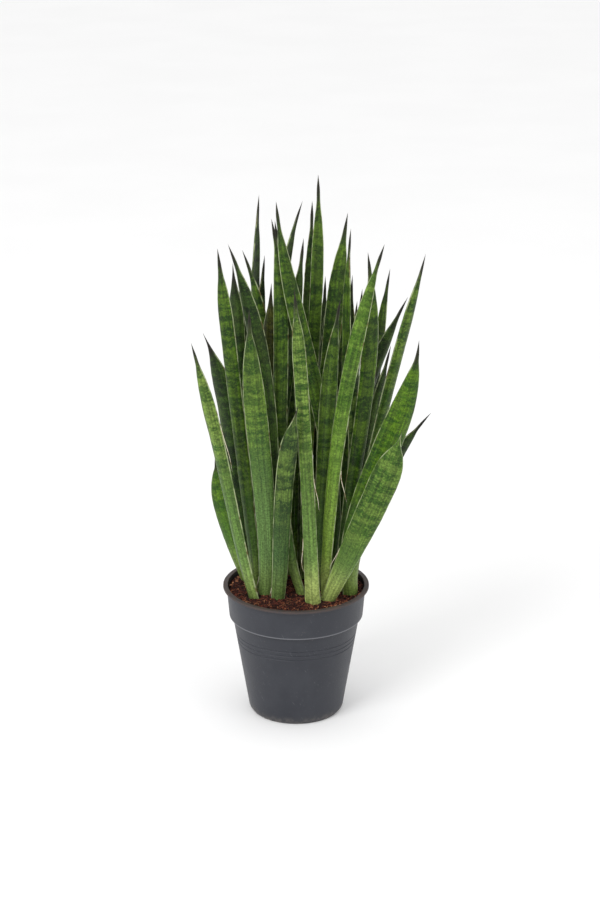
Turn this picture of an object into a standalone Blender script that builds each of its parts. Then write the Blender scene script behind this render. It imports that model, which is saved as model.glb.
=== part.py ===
"""Snake plant in a round nursery pot.

A thin-walled tapered pot with a banded rim holds a plug of potting soil, and
sword-shaped leaves stand in pockets in the soil. The pot's axis is the Z axis,
the ground is z = 0, and the plant's front faces -Y. All lengths are in metres.

Every leaf is a spine from its root to its tip, with a channelled section
carried along it. Leaves are first placed where the LEAVES list wants them, and
are then eased apart, height by height, until they stand clear of each other.
"""

import math
from typing import NamedTuple

import bmesh
import bpy
import numpy as np

# ---------------------------------------------------------------- pot sizes
POT_HEIGHT = 0.156
POT_TOP_DIAMETER = 0.170          # over the lip
POT_BASE_DIAMETER = 0.1054        # over the foot ring
WALL = 0.0015
LIP_OVERHANG = 0.0040             # lip beyond the band
LIP_HEIGHT = 0.0027
LIP_ROUNDING = 0.0007
BAND_HEIGHT = 0.0375              # from the top of the lip
BAND_DRAFT = 0.0030               # radius lost down the band
BAND_STEP = 0.0037                # band to body
FLOOR_THICKNESS = 0.0020
PAD_DIAMETER = 0.052              # flat middle of the floor, level with the foot ring
PAD_SLOPE = 0.0030                # run of the slope round the pad
FOOT_HEIGHT = 0.0040              # floor above the ground
FOOT_WIDTH = 0.0042
FOOT_CHAMFER = 0.0028             # body beyond the foot
GROOVE_COUNT = 3
GROOVE_DROP = 0.0565              # first groove below the top
GROOVE_PITCH = 0.0055
GROOVE_WIDTH = 0.0022
GROOVE_DEPTH = 0.0008
DRAIN_HOLE_COUNT = 8
DRAIN_HOLE_DIAMETER = 0.009
DRAIN_HOLE_EDGE = 0.008           # hole to the inside of the wall
POT_SEGMENTS = 64

# ---------------------------------------------------------------- soil sizes
SOIL_DROP = 0.0050                # soil's edge below the top of the lip
SOIL_CROWN = 0.002                # centre above the edge
SEAT_CLEARANCE = 0.0006           # soil to pot
CROWN_SHAPE = ((1.0, 0.0), (0.7, 0.5), (0.35, 0.9), (0.0, 1.0))   # shares of radius and of crown

# ---------------------------------------------------------------- leaf sizes
TALLEST_LEAF = 0.630              # tip above the ground
LEAF_REACH = 0.155                # furthest tip from the pot's axis
WIDEST_LEAF = 0.0352
LEAF_THICKNESS = 0.0034
PLANTING_DEPTH = 0.012
MITRE_LIMIT = 2.2                 # furthest that a pocket's corner reaches, as a share of the gap
POCKET_GAP = 0.00045              # leaf to its pocket in the soil
POCKET_WALL = 0.0006              # soil between two pockets
LEAF_GAP = 0.0010                 # between two leaves
RIM_GAP = 0.0030                  # leaf to the inside of the pot

BASE_THICKENING = 0.25            # extra thickness at the soil
COMMON_WIDTH = 0.5                # share of WIDEST_LEAF at which LEAF_THICKNESS holds
STOUTEST = 0.55                   # thickness is at most this share of the width
TAPER_POWER = 2.0                 # above 1 rounds the taper outwards
CHANNEL_BASE = 0.19               # depth of the channel, of the width
CHANNEL_MIDDLE = 0.13
WIDEST_AT = 0.6                   # share of the length
NEEDLE_WIDTH = 0.0035             # where the needle tip begins
NEEDLE_LENGTH = 0.016
RING_PLACES = (0.0, 0.05, 0.15, 0.27, 0.41, 0.55, 0.67, 0.78, 0.86, 0.92, 0.965, 1.0)   # soil to needle

# --------------------------------------------------------------- easing apart
LEVEL_COUNT = 44
LEVEL_CROWDING = 1.15             # above 1 sets the levels closer together near the soil
SHIFT_KNOTS = 8                   # bends that easing may give a leaf
EASING_ROUNDS = 900
SIDEWAYS_GIVE = 0.2               # how readily a leaf gives way along X, against 1 along Y
POCKET_ZONE = 0.030               # height above the soil up to which leaves keep a pocket wall apart
EASING_SPEED = 0.8                # share of each overlap that one round clears
EASING_RETURN = 0.03              # share of each shift that the first round takes back
RETURN_ENDS = 0.8                 # share of the rounds after which nothing is taken back
LEAST_WEIGHT = 0.3                # below this, a hump's pushes are not averaged any further
SWAY_PEAK = 2.6                   # brings the S-bend's peak to 1


class Leaf(NamedTuple):
    """One leaf: where it stands, where its tip is, and how it bends.

    root: x and y at the soil, as shares of the soil's radius.
    tip: x and y as shares of LEAF_REACH, height as a share of TALLEST_LEAF.
    width: its widest, as a share of WIDEST_LEAF.
    facing: azimuth in degrees of the channelled face at mid-length.
    twist: turn in degrees from soil to tip.
    bow: x and y of the spine's bulge, as shares of the leaf's length.
    sway: x of its S-bend, as a share of the leaf's length.
    taper: share of the length over which it narrows to the needle.
    foot: width at the soil, as a share of its widest.
    swell: how late it widens; above 1 is late.
    """

    name: str
    root: tuple
    tip: tuple
    width: float
    facing: float
    twist: float = 10.0
    bow: tuple = (0.0, 0.0)
    sway: float = 0.0
    taper: float = 0.24
    foot: float = 0.64
    swell: float = 0.9


LEAVES = (
    # The rosette at the front, with pale bases
    Leaf("front_leaf_1", (0.245, -0.49), (-0.01, -0.39, 0.835), 0.45, 85, 8, (0.004, 0.0), 0.0, 0.18, 1.18, 0.5),
    Leaf("front_leaf_2", (0.40, -0.37), (0.62, -0.32, 0.911), 0.49, 70, 28, (-0.034, 0.0), 0.003, 0.24, 0.58, 0.6),
    Leaf("front_leaf_3", (0.465, -0.43), (0.755, -0.55, 0.594), 0.93, 84, 6, (0.018, 0.0), -0.005,
         0.21, 0.52, 1.2),
    Leaf("front_leaf_4", (0.27, -0.27), (0.32, -0.16, 0.805), 0.56, 95, -10, (-0.006, 0.0), 0.007, 0.3),
    Leaf("front_leaf_5", (0.43, -0.15), (-0.14, 0.00, 0.968), 0.54, 98, -10, (0.042, 0.0), 0.02, 0.26),
    Leaf("front_leaf_6", (0.08, -0.28), (-0.18, 0.10, 0.932), 0.49, 80, 10, (-0.017, 0.0), -0.018),
    Leaf("front_leaf_7", (0.63, -0.14), (0.51, -0.10, 0.883), 0.54, 105, -15, (0.024, 0.0), -0.010, 0.22),
    # The rosette at the front left
    Leaf("left_leaf_1", (-0.45, -0.30), (-0.325, -0.45, 0.805), 0.73, 85, 8, (0.008, 0.0), 0.008, 0.30),
    Leaf("left_leaf_2", (-0.265, -0.33), (0.02, -0.40, 0.628), 0.60, 95, 5, (-0.022, 0.0), 0.007, 0.18, 0.76),
    Leaf("left_leaf_3", (-0.61, -0.27), (-0.735, -0.45, 0.744), 0.52, 58, 20, (0.0, 0.0), -0.004, 0.24, 0.85),
    Leaf("left_leaf_4", (-0.56, -0.14), (-0.55, -0.23, 0.898), 0.49, 72, 12, (0.000, 0.0), 0.0, 0.18),
    Leaf("left_leaf_5", (-0.36, -0.16), (-0.48, -0.10, 0.897), 0.58, 78, 10, (0.05, 0.0), -0.007),
    Leaf("left_leaf_6", (-0.25, -0.06), (0.055, 0.06, 0.897), 0.49, 108, -12, (-0.027, 0.0), -0.008),
    Leaf("left_leaf_7", (-0.63, -0.03), (-0.67, -0.06, 0.734), 0.66, 62, 15, (0.012, 0.0), -0.022, 0.17),
    # The rosette at the back left
    Leaf("back_left_leaf_1", (-0.74, 0.12), (-0.60, 0.12, 0.498), 0.70, 72, 10, (-0.036, 0.0), 0.004, 0.3),
    Leaf("back_left_leaf_2", (-0.65, 0.26), (-0.46, 0.26, 0.841), 0.56, 60, 15, taper=0.14),
    Leaf("back_left_leaf_3", (-0.39, 0.18), (-0.39, 0.23, 0.867), 0.48, 55, 15, (0.023, 0.0), -0.022, 0.2),
    Leaf("back_left_leaf_4", (-0.34, 0.07), (-0.17, 0.06, 0.817), 0.50, 80, -8, (-0.014, 0.0), 0.0, 0.16),
    Leaf("back_left_leaf_5", (-0.49, 0.42), (-0.27, 0.52, 0.951), 0.47, 322, 15, (-0.018, 0.0), 0.0, 0.2),
    Leaf("back_left_leaf_6", (-0.31, 0.37), (-0.23, 0.45, 0.844), 0.47, 318, -15, (-0.033, 0.0), 0.0, 0.2),
    Leaf("back_left_leaf_7", (-0.72, 0.47), (-0.42, 0.52, 0.790), 0.52, 312, 12, (0.01, -0.02)),
    # The rosette at the back
    Leaf("back_leaf_1", (0.13, 0.29), (0.16, 0.29, 1.000), 0.42, 265, 8, (0.0, 0.0), -0.005, 0.2),
    Leaf("back_leaf_2", (-0.18, 0.26), (0.05, 0.45, 0.944), 0.45, 315, 15, (-0.04, 0.0), 0.014, 0.18),
    Leaf("back_leaf_3", (-0.12, 0.48), (-0.155, 0.48, 0.906), 0.42, 290, -12, (0.019, 0.0)),
    Leaf("back_leaf_4", (0.08, 0.50), (0.12, 0.61, 0.935), 0.45, 275, 8, (0.0, -0.02)),
    Leaf("back_leaf_5", (0.26, 0.48), (0.27, 0.48, 0.810), 0.43, 250, -12, (0.008, 0.0), 0.01),
    Leaf("back_leaf_6", (-0.26, 0.74), (-0.25, 0.61, 0.650), 0.52, 292, 14, (0.0, -0.03)),
    Leaf("back_leaf_7", (0.31, 0.70), (0.22, 0.68, 0.790), 0.52, 244, -12, (0.0, -0.03)),
    Leaf("back_leaf_8", (0.03, 0.72), (-0.01, 0.66, 0.680), 0.56, 268, 8, (0.0, -0.03), 0.0, 0.3),
    # The rosette at the right
    Leaf("right_leaf_1", (0.46, 0.16), (0.375, 0.26, 0.933), 0.58, 262, 8, (-0.027, 0.0), 0.0, 0.2),
    Leaf("right_leaf_2", (0.52, 0.02), (0.395, 0.15, 0.911), 0.47, 216, -12, (0.018, 0.0), 0.010),
    Leaf("right_leaf_3", (0.67, 0.06), (0.44, -0.03, 0.791), 0.44, 115, 8, (0.016, 0.0), 0.01),
    Leaf("right_leaf_4", (0.48, 0.42), (0.415, 0.39, 0.811), 0.48, 235, -12, (0.03, 0.0), 0.01, 0.2),
    Leaf("right_leaf_5", (0.60, 0.28), (0.485, 0.26, 0.794), 0.43, 228, 12, taper=0.2),
    Leaf("right_leaf_6", (0.70, 0.42), (0.695, 0.48, 0.817), 0.47, 215, 12, (0.014, 0.0), 0.007, 0.2),
    Leaf("right_leaf_7", (0.55, 0.50), (0.82, 0.28, 0.777), 0.55, 118, -10, (-0.064, 0.0), 0.0, 0.22),
    Leaf("right_leaf_8", (0.80, 0.02), (0.93, 0.06, 0.870), 0.50, 130, 10, (-0.020, 0.0), -0.005, 0.2),
    Leaf("right_leaf_9", (0.80, -0.22), (0.88, -0.19, 0.730), 0.93, 102, -10, (-0.022, 0.0), -0.027, 0.34, 0.56),
    Leaf("right_leaf_10", (0.84, 0.20), (1.00, 0.10, 0.573), 0.62, 108, 8, (-0.098, 0.0), 0.0, 0.3, 0.55),
    Leaf("right_leaf_11", (0.62, 0.62), (0.333, 0.58, 0.790), 0.52, 238, -12, (0.0, -0.03)),
    Leaf("right_leaf_12", (0.78, 0.34), (0.70, 0.24, 0.690), 0.50, 128, 8, (-0.018, 0.0)),
)

# Colours, linear RGB, with roughness
FINISHES = {
    "pot_plastic": ((0.070, 0.082, 0.095), 0.42),
    "potting_soil": ((0.085, 0.034, 0.020), 0.95),
    "front_leaf": ((0.105, 0.190, 0.040), 0.45),
    "leaf": ((0.042, 0.105, 0.028), 0.45),
}

# ------------------------------------------------------------- derived sizes
TOP_RADIUS = POT_TOP_DIAMETER / 2
FOOT_RADIUS = POT_BASE_DIAMETER / 2
FOOT_INNER_RADIUS = FOOT_RADIUS - FOOT_WIDTH
BODY_BASE_RADIUS = FOOT_RADIUS + FOOT_CHAMFER
BAND_TOP_RADIUS = TOP_RADIUS - LIP_OVERHANG
BAND_BASE_RADIUS = BAND_TOP_RADIUS - BAND_DRAFT
BODY_TOP_RADIUS = BAND_BASE_RADIUS - BAND_STEP
BAND_BASE_Z = POT_HEIGHT - BAND_HEIGHT
LIP_BASE_Z = POT_HEIGHT - LIP_HEIGHT
BODY_BASE_Z = FOOT_HEIGHT
FLOOR_TOP_Z = FOOT_HEIGHT + FLOOR_THICKNESS
PAD_RADIUS = PAD_DIAMETER / 2
INNER_STEP_Z = BAND_BASE_Z + WALL
SOIL_EDGE_Z = POT_HEIGHT - SOIL_DROP
SOIL_Z = SOIL_EDGE_Z + SOIL_CROWN / 2


def body_radius(z):
    """Outer radius of the tapered body at a height."""
    share = (z - BODY_BASE_Z) / (BAND_BASE_Z - BODY_BASE_Z)
    return BODY_BASE_RADIUS + share * (BODY_TOP_RADIUS - BODY_BASE_RADIUS)


def band_radius(z):
    """Outer radius of the rim band at a height."""
    share = (z - BAND_BASE_Z) / (LIP_BASE_Z - BAND_BASE_Z)
    return BAND_BASE_RADIUS + share * (BAND_TOP_RADIUS - BAND_BASE_RADIUS)


SOIL_RADIUS = band_radius(SOIL_EDGE_Z) - WALL - SEAT_CLEARANCE


# --------------------------------------------------------------- scene helpers
def clear_scene():
    """Remove whatever the scene holds."""
    for thing in list(bpy.data.objects):
        bpy.data.objects.remove(thing, do_unlink=True)


def make_material(name):
    """Principled material with the finish of that name."""
    colour, roughness = FINISHES[name]
    material = bpy.data.materials.new(name)
    material.use_nodes = True
    shader = material.node_tree.nodes["Principled BSDF"]
    shader.inputs["Base Color"].default_value = (*colour, 1.0)
    shader.inputs["Roughness"].default_value = roughness
    shader.inputs["Metallic"].default_value = 0.0
    return material


def object_from_bmesh(name, bm, material, sharp_degrees=35):
    """Turn a bmesh into a smooth-shaded object of the plant."""
    bmesh.ops.recalc_face_normals(bm, faces=bm.faces)
    mesh = bpy.data.meshes.new(name)
    bm.to_mesh(mesh)
    bm.free()
    mesh.shade_smooth()
    mesh.set_sharp_from_angle(angle=math.radians(sharp_degrees))
    if material is not None:
        mesh.materials.append(material)
    result = bpy.data.objects.new(name, mesh)
    bpy.context.scene.collection.objects.link(result)
    return result


def turned(profile, segments):
    """Spin a profile of (radius, height) points, whose ends lie on the axis, about Z."""
    bm = bmesh.new()
    verts = [bm.verts.new((radius, 0.0, height)) for radius, height in profile]
    edges = [bm.edges.new(pair) for pair in zip(verts, verts[1:])]
    bmesh.ops.spin(bm, geom=verts + edges, cent=(0, 0, 0), axis=(0, 0, 1),
                   angle=math.tau, steps=segments, use_merge=True)
    bmesh.ops.remove_doubles(bm, verts=bm.verts, dist=1e-6)
    return bm


def cut(target, cutter):
    """Subtract a hidden cutter from a piece."""
    cutter.hide_render = True
    cutter.display_type = "WIRE"
    boolean = target.modifiers.new("cut_" + cutter.name, "BOOLEAN")
    boolean.operation = "DIFFERENCE"
    boolean.solver = "EXACT"
    boolean.object = cutter


# ----------------------------------------------------------------------- pot
def groove_points():
    """Outer wall points of the shallow grooves, from the lowest up."""
    points = []
    for index in reversed(range(GROOVE_COUNT)):
        middle = POT_HEIGHT - GROOVE_DROP - index * GROOVE_PITCH
        low = middle - GROOVE_WIDTH / 2
        high = middle + GROOVE_WIDTH / 2
        points.append((body_radius(low), low))
        points.append((body_radius(middle) - GROOVE_DEPTH, middle))
        points.append((body_radius(high), high))
    return points


def pot_profile():
    """Outline of the pot's wall, from under the floor, round the lip, to the floor's top."""
    edge = LIP_ROUNDING
    inner_top = band_radius(LIP_BASE_Z) - WALL
    outside = [
        (0.0, 0.0),
        (PAD_RADIUS, 0.0),
        (PAD_RADIUS + PAD_SLOPE, FOOT_HEIGHT),
        (FOOT_INNER_RADIUS, FOOT_HEIGHT),
        (FOOT_INNER_RADIUS, 0.0),
        (FOOT_RADIUS, 0.0),
        (BODY_BASE_RADIUS, BODY_BASE_Z),
        *groove_points(),
        (BODY_TOP_RADIUS, BAND_BASE_Z),
        (BAND_BASE_RADIUS - edge, BAND_BASE_Z),
        (band_radius(BAND_BASE_Z + edge), BAND_BASE_Z + edge),
        (BAND_TOP_RADIUS, LIP_BASE_Z),
    ]
    lip = [
        (TOP_RADIUS - edge, LIP_BASE_Z),
        (TOP_RADIUS, LIP_BASE_Z + edge),
        (TOP_RADIUS, POT_HEIGHT - edge),
        (TOP_RADIUS - edge, POT_HEIGHT),
        (inner_top + edge, POT_HEIGHT),
        (inner_top, POT_HEIGHT - edge),
    ]
    inside = [
        (band_radius(INNER_STEP_Z) - WALL, INNER_STEP_Z),
        (BODY_TOP_RADIUS - WALL, INNER_STEP_Z),
        (body_radius(FLOOR_TOP_Z) - WALL, FLOOR_TOP_Z),
        (PAD_RADIUS + PAD_SLOPE, FLOOR_TOP_Z),
        (PAD_RADIUS, FLOOR_THICKNESS),
        (0.0, FLOOR_THICKNESS),
    ]
    return outside + lip + inside


def make_pot():
    """The pot, with a ring of drain holes through the raised part of its floor."""
    pot = object_from_bmesh("pot", turned(pot_profile(), POT_SEGMENTS), make_material("pot_plastic"))
    hole_circle = FOOT_INNER_RADIUS - DRAIN_HOLE_EDGE - DRAIN_HOLE_DIAMETER / 2
    bm = bmesh.new()
    for index in range(DRAIN_HOLE_COUNT):
        angle = math.tau * (index + 0.5) / DRAIN_HOLE_COUNT
        drill = bmesh.ops.create_cone(
            bm, cap_ends=True, segments=16, depth=4 * FLOOR_THICKNESS,
            radius1=DRAIN_HOLE_DIAMETER / 2, radius2=DRAIN_HOLE_DIAMETER / 2)
        place = (hole_circle * math.cos(angle), hole_circle * math.sin(angle),
                 FOOT_HEIGHT + FLOOR_THICKNESS / 2)
        bmesh.ops.translate(bm, verts=drill["verts"], vec=place)
    cut(pot, object_from_bmesh("drain_drills", bm, None))
    return pot


# -------------------------------------------------------------------- leaves
def leaf_ends(leaf):
    """Root and tip of a leaf in metres."""
    root = np.array([leaf.root[0] * SOIL_RADIUS, leaf.root[1] * SOIL_RADIUS, SOIL_Z])
    tip = np.array([leaf.tip[0] * LEAF_REACH, leaf.tip[1] * LEAF_REACH, leaf.tip[2] * TALLEST_LEAF])
    return root, tip


def needle_share(leaf):
    """Share of a leaf's length that its needle tip takes."""
    root, tip = leaf_ends(leaf)
    return NEEDLE_LENGTH / np.linalg.norm(tip - root)


def leaf_law(leaf, share):
    """Width, thickness and channel depth at shares of a leaf's length (0 soil, 1 tip)."""
    share = np.asarray(share, float)
    above = np.clip(share, 0.0, 1.0)
    rise = np.clip(above / WIDEST_AT, 0.0, 1.0) ** leaf.swell
    swell = leaf.foot + (1 - leaf.foot) * np.sin(rise * math.pi / 2)
    left = np.clip((1 - needle_share(leaf) - above) / leaf.taper, 0.0, 1.0)
    taper = 1 - (1 - left) ** TAPER_POWER
    width = np.maximum(leaf.width * WIDEST_LEAF * swell * taper, NEEDLE_WIDTH)
    thickness = LEAF_THICKNESS * (1 + BASE_THICKENING * (1 - above) ** 2) * np.sqrt(leaf.width / COMMON_WIDTH)
    thickness = np.minimum(thickness, STOUTEST * width)
    channel = width * (CHANNEL_MIDDLE + (CHANNEL_BASE - CHANNEL_MIDDLE) * (1 - above) ** 3)
    return width, thickness, channel


def leaf_spine(leaf, share):
    """Points of a leaf's spine before easing: a line, a bulge and an S-bend."""
    share = np.asarray(share, float)
    root, tip = leaf_ends(leaf)
    length = np.linalg.norm(tip - root)
    points = root + share[:, None] * (tip - root)
    above = np.clip(share, 0.0, 1.0)
    bulge = 4 * above * (1 - above)
    points[:, 0] += length * (leaf.bow[0] * bulge + leaf.sway * SWAY_PEAK * bulge * (1 - 2 * above))
    points[:, 1] += length * leaf.bow[1] * bulge
    return points


def knot_weights(share):
    """Weights of the SHIFT_KNOTS smooth humps (cubic B-splines) at shares of the length."""
    spread = np.abs(np.asarray(share)[..., None] * (SHIFT_KNOTS - 3) - (np.arange(SHIFT_KNOTS) - 1))
    near = 2 / 3 - spread ** 2 + spread ** 3 / 2
    far = np.clip(2 - spread, 0, None) ** 3 / 6
    return np.where(spread < 1, near, far)


def leaf_sections():
    """Flat sections of all leaves at each level, for easing them apart.

    Gives centres, width directions, half widths, half depths and knot weights,
    each indexed by leaf and level, and which leaves reach which level. A leaf's
    tip also counts at the first level above it, so that it clears its neighbours.
    """
    low = SOIL_Z - PLANTING_DEPTH
    levels = low + (TALLEST_LEAF - low) * np.linspace(0, 1, LEVEL_COUNT) ** LEVEL_CROWDING
    rises = np.diff(levels, prepend=low)
    table = []
    for leaf in LEAVES:
        root, tip = leaf_ends(leaf)
        share = (levels - root[2]) / (tip[2] - root[2])
        present = levels - rises <= tip[2]
        inside = np.clip(share, (low - root[2]) / (tip[2] - root[2]), 1.0)
        width, thickness, channel = leaf_law(leaf, inside)
        spine = leaf_spine(leaf, inside)
        lean = np.linalg.norm(tip - root) / (tip[2] - root[2])
        facing = np.radians(leaf.facing + leaf.twist * (np.clip(inside, 0, 1) - 0.5))
        across = np.stack([-np.sin(facing), np.cos(facing)], 1)
        table.append((spine[:, :2], across, width / 2 * lean, (thickness + channel) / 2 * lean,
                      knot_weights(np.clip(inside, 0, 1)), present))
    return levels, [np.array(column) for column in zip(*table)]


def eased_shifts():
    """Sideways shifts of the leaves' knots that leave all the leaves clear of each other.

    At each level a leaf is a rectangle. Where two come nearer than the gap, both
    give way across the side of one of them that is easiest to clear, mostly to
    front and back. The moves go to the smooth humps along each leaf, so a leaf
    only ever bends gently. Each of the earlier rounds also takes a little of every
    shift back, so that a leaf stays as near to its wanted place as it can.
    """
    levels, (start, across, half_width, half_depth, weights, present) = leaf_sections()
    through = np.stack([across[..., 1], -across[..., 0]], -1)
    first, second = np.triu_indices(len(LEAVES), 1)
    both = present[first] & present[second]
    pocket_gap = 2 * POCKET_GAP + POCKET_WALL
    planted = levels < SOIL_Z + POCKET_ZONE
    gap = np.where(planted, pocket_gap, LEAF_GAP)
    inner = np.where(levels < POT_HEIGHT, SOIL_RADIUS - RIM_GAP, np.inf)
    axes = np.stack([across[first], through[first], across[second], through[second]])
    reach = np.zeros(axes.shape[:-1])
    for index in (first, second):
        reach += half_width[index] * np.abs((axes * across[index]).sum(-1))
        reach += half_depth[index] * np.abs((axes * through[index]).sum(-1))
    give = np.array([SIDEWAYS_GIVE, 1.0])
    compliance = (axes ** 2 * give).sum(-1)
    shifts = np.zeros((len(LEAVES), SHIFT_KNOTS, 2))
    for turn in range(EASING_ROUNDS):
        shifts *= 1 - EASING_RETURN * max(0.0, 1 - turn / (RETURN_ENDS * EASING_ROUNDS))
        centre = start + weights @ shifts
        apart = centre[second] - centre[first]
        along = (axes * apart).sum(-1)
        overlap = reach + gap - np.abs(along)
        choice = np.argmin(overlap / np.sqrt(compliance), 0)[None]
        depth = np.take_along_axis(overlap, choice, 0)[0]
        depth = np.where(both & (overlap.min(0) > 0), depth, 0.0)
        sign = np.sign(np.take_along_axis(along, choice, 0)[0])
        sign = np.where(sign == 0, 1.0, sign)
        way = np.take_along_axis(axes * give / compliance[..., None], choice[..., None], 0)[0]
        move = way * (depth * sign * 0.5)[..., None]
        push = np.zeros_like(centre)
        np.add.at(push, first, -move)
        np.add.at(push, second, move)
        distance = np.linalg.norm(centre, axis=-1)
        outside = np.clip(distance + half_width - inner, 0.0, None) * present
        push -= centre / np.maximum(distance, 1e-6)[..., None] * outside[..., None]
        touched = (np.abs(push).sum(-1) > 0).astype(float)
        pull = np.einsum("lkw,lkc->lwc", weights, push)
        share = np.einsum("lkw,lk->lw", weights, touched)
        shifts += EASING_SPEED * pull / np.maximum(share, LEAST_WEIGHT)[..., None]
    return shifts


def leaf_rings(leaf, shift, shares, grow=0.0):
    """Eight-sided rings along a leaf: a lens bent into a channel, turned along the spine."""
    shares = np.asarray(shares, float)
    width, thickness, channel = leaf_law(leaf, shares)
    step = 0.004
    clipped = np.clip(shares, 0, 1)

    def eased(at):
        points = leaf_spine(leaf, at)
        points[:, :2] += knot_weights(np.clip(at, 0, 1)) @ shift
        return points

    centre = eased(shares)
    tangent = eased(shares + step) - eased(shares - step)
    tangent /= np.linalg.norm(tangent, axis=1)[:, None]
    facing = np.radians(leaf.facing + leaf.twist * (clipped - 0.5))
    face = np.stack([np.cos(facing), np.sin(facing), np.zeros_like(facing)], 1)
    face -= (face * tangent).sum(1)[:, None] * tangent
    face /= np.linalg.norm(face, axis=1)[:, None]
    across = np.cross(face, tangent)
    place = np.array([-1.0, -0.55, 0.0, 0.55, 1.0, 0.55, 0.0, -0.55])
    side = np.array([0.0, 0.42, 0.5, 0.42, 0.0, -0.42, -0.5, -0.42])
    x = place * width[:, None] / 2
    y = channel[:, None] * (place ** 2 - 0.5) + side * thickness[:, None]
    flat = grown(np.stack([x, y], -1), grow)
    return centre[:, None] + flat[..., :1] * across[:, None] + flat[..., 1:] * face[:, None]


def grown(outlines, distance):
    """Clockwise outlines with every side moved outwards by a distance."""
    edges = np.roll(outlines, -1, axis=1) - outlines
    normals = np.stack([-edges[..., 1], edges[..., 0]], -1)
    normals /= np.linalg.norm(normals, axis=-1, keepdims=True)
    mitres = normals + np.roll(normals, 1, axis=1)
    mitres /= np.linalg.norm(mitres, axis=-1, keepdims=True)
    reach = 1 / np.maximum((mitres * normals).sum(-1, keepdims=True), 1 / MITRE_LIMIT)
    return outlines + distance * reach * mitres


def skin_rings(bm, rings, pointed):
    """Join rings of points into a closed skin, flat at the foot and pointed or flat at the top."""
    loops = [[bm.verts.new(point) for point in ring] for ring in rings]
    count = len(loops[0])
    for lower, upper in zip(loops, loops[1:]):
        for index in range(count):
            after = (index + 1) % count
            bm.faces.new((lower[index], lower[after], upper[after], upper[index]))
    bm.faces.new(list(reversed(loops[0])))
    if pointed is None:
        bm.faces.new(loops[-1])
        return
    apex = bm.verts.new(pointed)
    for index in range(count):
        bm.faces.new((loops[-1][index], loops[-1][(index + 1) % count], apex))


def share_of(leaf, height):
    """Share of a leaf's length that a height above the soil makes."""
    root, tip = leaf_ends(leaf)
    return height / (tip[2] - root[2])


def ring_shares(leaf):
    """Shares of a leaf's length at which its rings stand, from the soil to the needle."""
    return np.array(RING_PLACES) * (1 - needle_share(leaf))


def make_leaf(leaf, shift, material):
    """One leaf, from its foot in the soil to its needle tip."""
    foot = share_of(leaf, -PLANTING_DEPTH)
    rings = leaf_rings(leaf, shift, (foot, *ring_shares(leaf)))
    tip = leaf_spine(leaf, [1.0])
    tip[:, :2] += knot_weights(np.array([1.0])) @ shift
    bm = bmesh.new()
    skin_rings(bm, rings, tip[0])
    bmesh.ops.triangulate(bm, faces=bm.faces)
    return object_from_bmesh(leaf.name, bm, material, 60)


# ---------------------------------------------------------------------- soil
def soil_profile():
    """Outline of the soil plug: it follows the inside of the pot, with a low crown."""
    gap = SEAT_CLEARANCE
    floor = FLOOR_TOP_Z + gap
    step = INNER_STEP_Z + gap
    return [
        (0.0, FLOOR_THICKNESS + gap),
        (PAD_RADIUS - gap, FLOOR_THICKNESS + gap),
        (PAD_RADIUS + PAD_SLOPE - gap, floor),
        (body_radius(floor) - WALL - gap, floor),
        (BODY_TOP_RADIUS - WALL - gap, step),
        (band_radius(step) - WALL - gap, step),
        *[(SOIL_RADIUS * out, SOIL_EDGE_Z + SOIL_CROWN * up) for out, up in CROWN_SHAPE],
    ]


def make_soil(shifts):
    """The soil plug, with a pocket for the foot of each leaf."""
    soil = object_from_bmesh("soil", turned(soil_profile(), 48), make_material("potting_soil"))
    bm = bmesh.new()
    for leaf, shift in zip(LEAVES, shifts):
        bottom = share_of(leaf, -PLANTING_DEPTH - POCKET_GAP)
        places = ring_shares(leaf)[:2]
        rings = leaf_rings(leaf, shift, (bottom, *places), grow=POCKET_GAP)
        skin_rings(bm, rings, None)
    cut(soil, object_from_bmesh("leaf_pockets", bm, None))
    return soil


def main():
    """Build the pot, the soil and the leaves."""
    clear_scene()
    make_pot()
    shifts = eased_shifts()
    make_soil(shifts)
    front = make_material("front_leaf")
    green = make_material("leaf")
    for leaf, shift in zip(LEAVES, shifts):
        make_leaf(leaf, shift, front if leaf.name.startswith("front") else green)


main()
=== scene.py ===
"""Looks of a snake plant in a round nursery pot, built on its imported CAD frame.

The pot is turned from a filleted profile, the potting mix is a rough bed strewn
with crumbs, chips and coir fibres, and every leaf is a smooth blade carried
along the spine of its CAD solid. All lengths are in metres, +Z is up.
"""

import logging
import math
from dataclasses import dataclass, field
from enum import Enum

import bmesh
import bpy
import numpy as np
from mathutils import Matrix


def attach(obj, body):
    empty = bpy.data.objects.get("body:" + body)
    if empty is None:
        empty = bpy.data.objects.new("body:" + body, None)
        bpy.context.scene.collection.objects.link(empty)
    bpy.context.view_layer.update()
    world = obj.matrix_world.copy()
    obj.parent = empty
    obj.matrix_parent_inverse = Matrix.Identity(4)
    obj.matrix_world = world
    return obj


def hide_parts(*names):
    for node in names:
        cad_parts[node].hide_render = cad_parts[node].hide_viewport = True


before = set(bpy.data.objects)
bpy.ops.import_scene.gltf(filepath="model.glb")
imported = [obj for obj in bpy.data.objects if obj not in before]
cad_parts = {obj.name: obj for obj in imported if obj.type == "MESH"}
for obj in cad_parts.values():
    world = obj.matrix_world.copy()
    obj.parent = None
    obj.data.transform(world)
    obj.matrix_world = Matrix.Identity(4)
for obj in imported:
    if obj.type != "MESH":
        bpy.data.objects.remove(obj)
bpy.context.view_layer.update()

BODY = "root"
LOG = logging.getLogger("snake_plant")

Colour = tuple[float, float, float]


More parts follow.
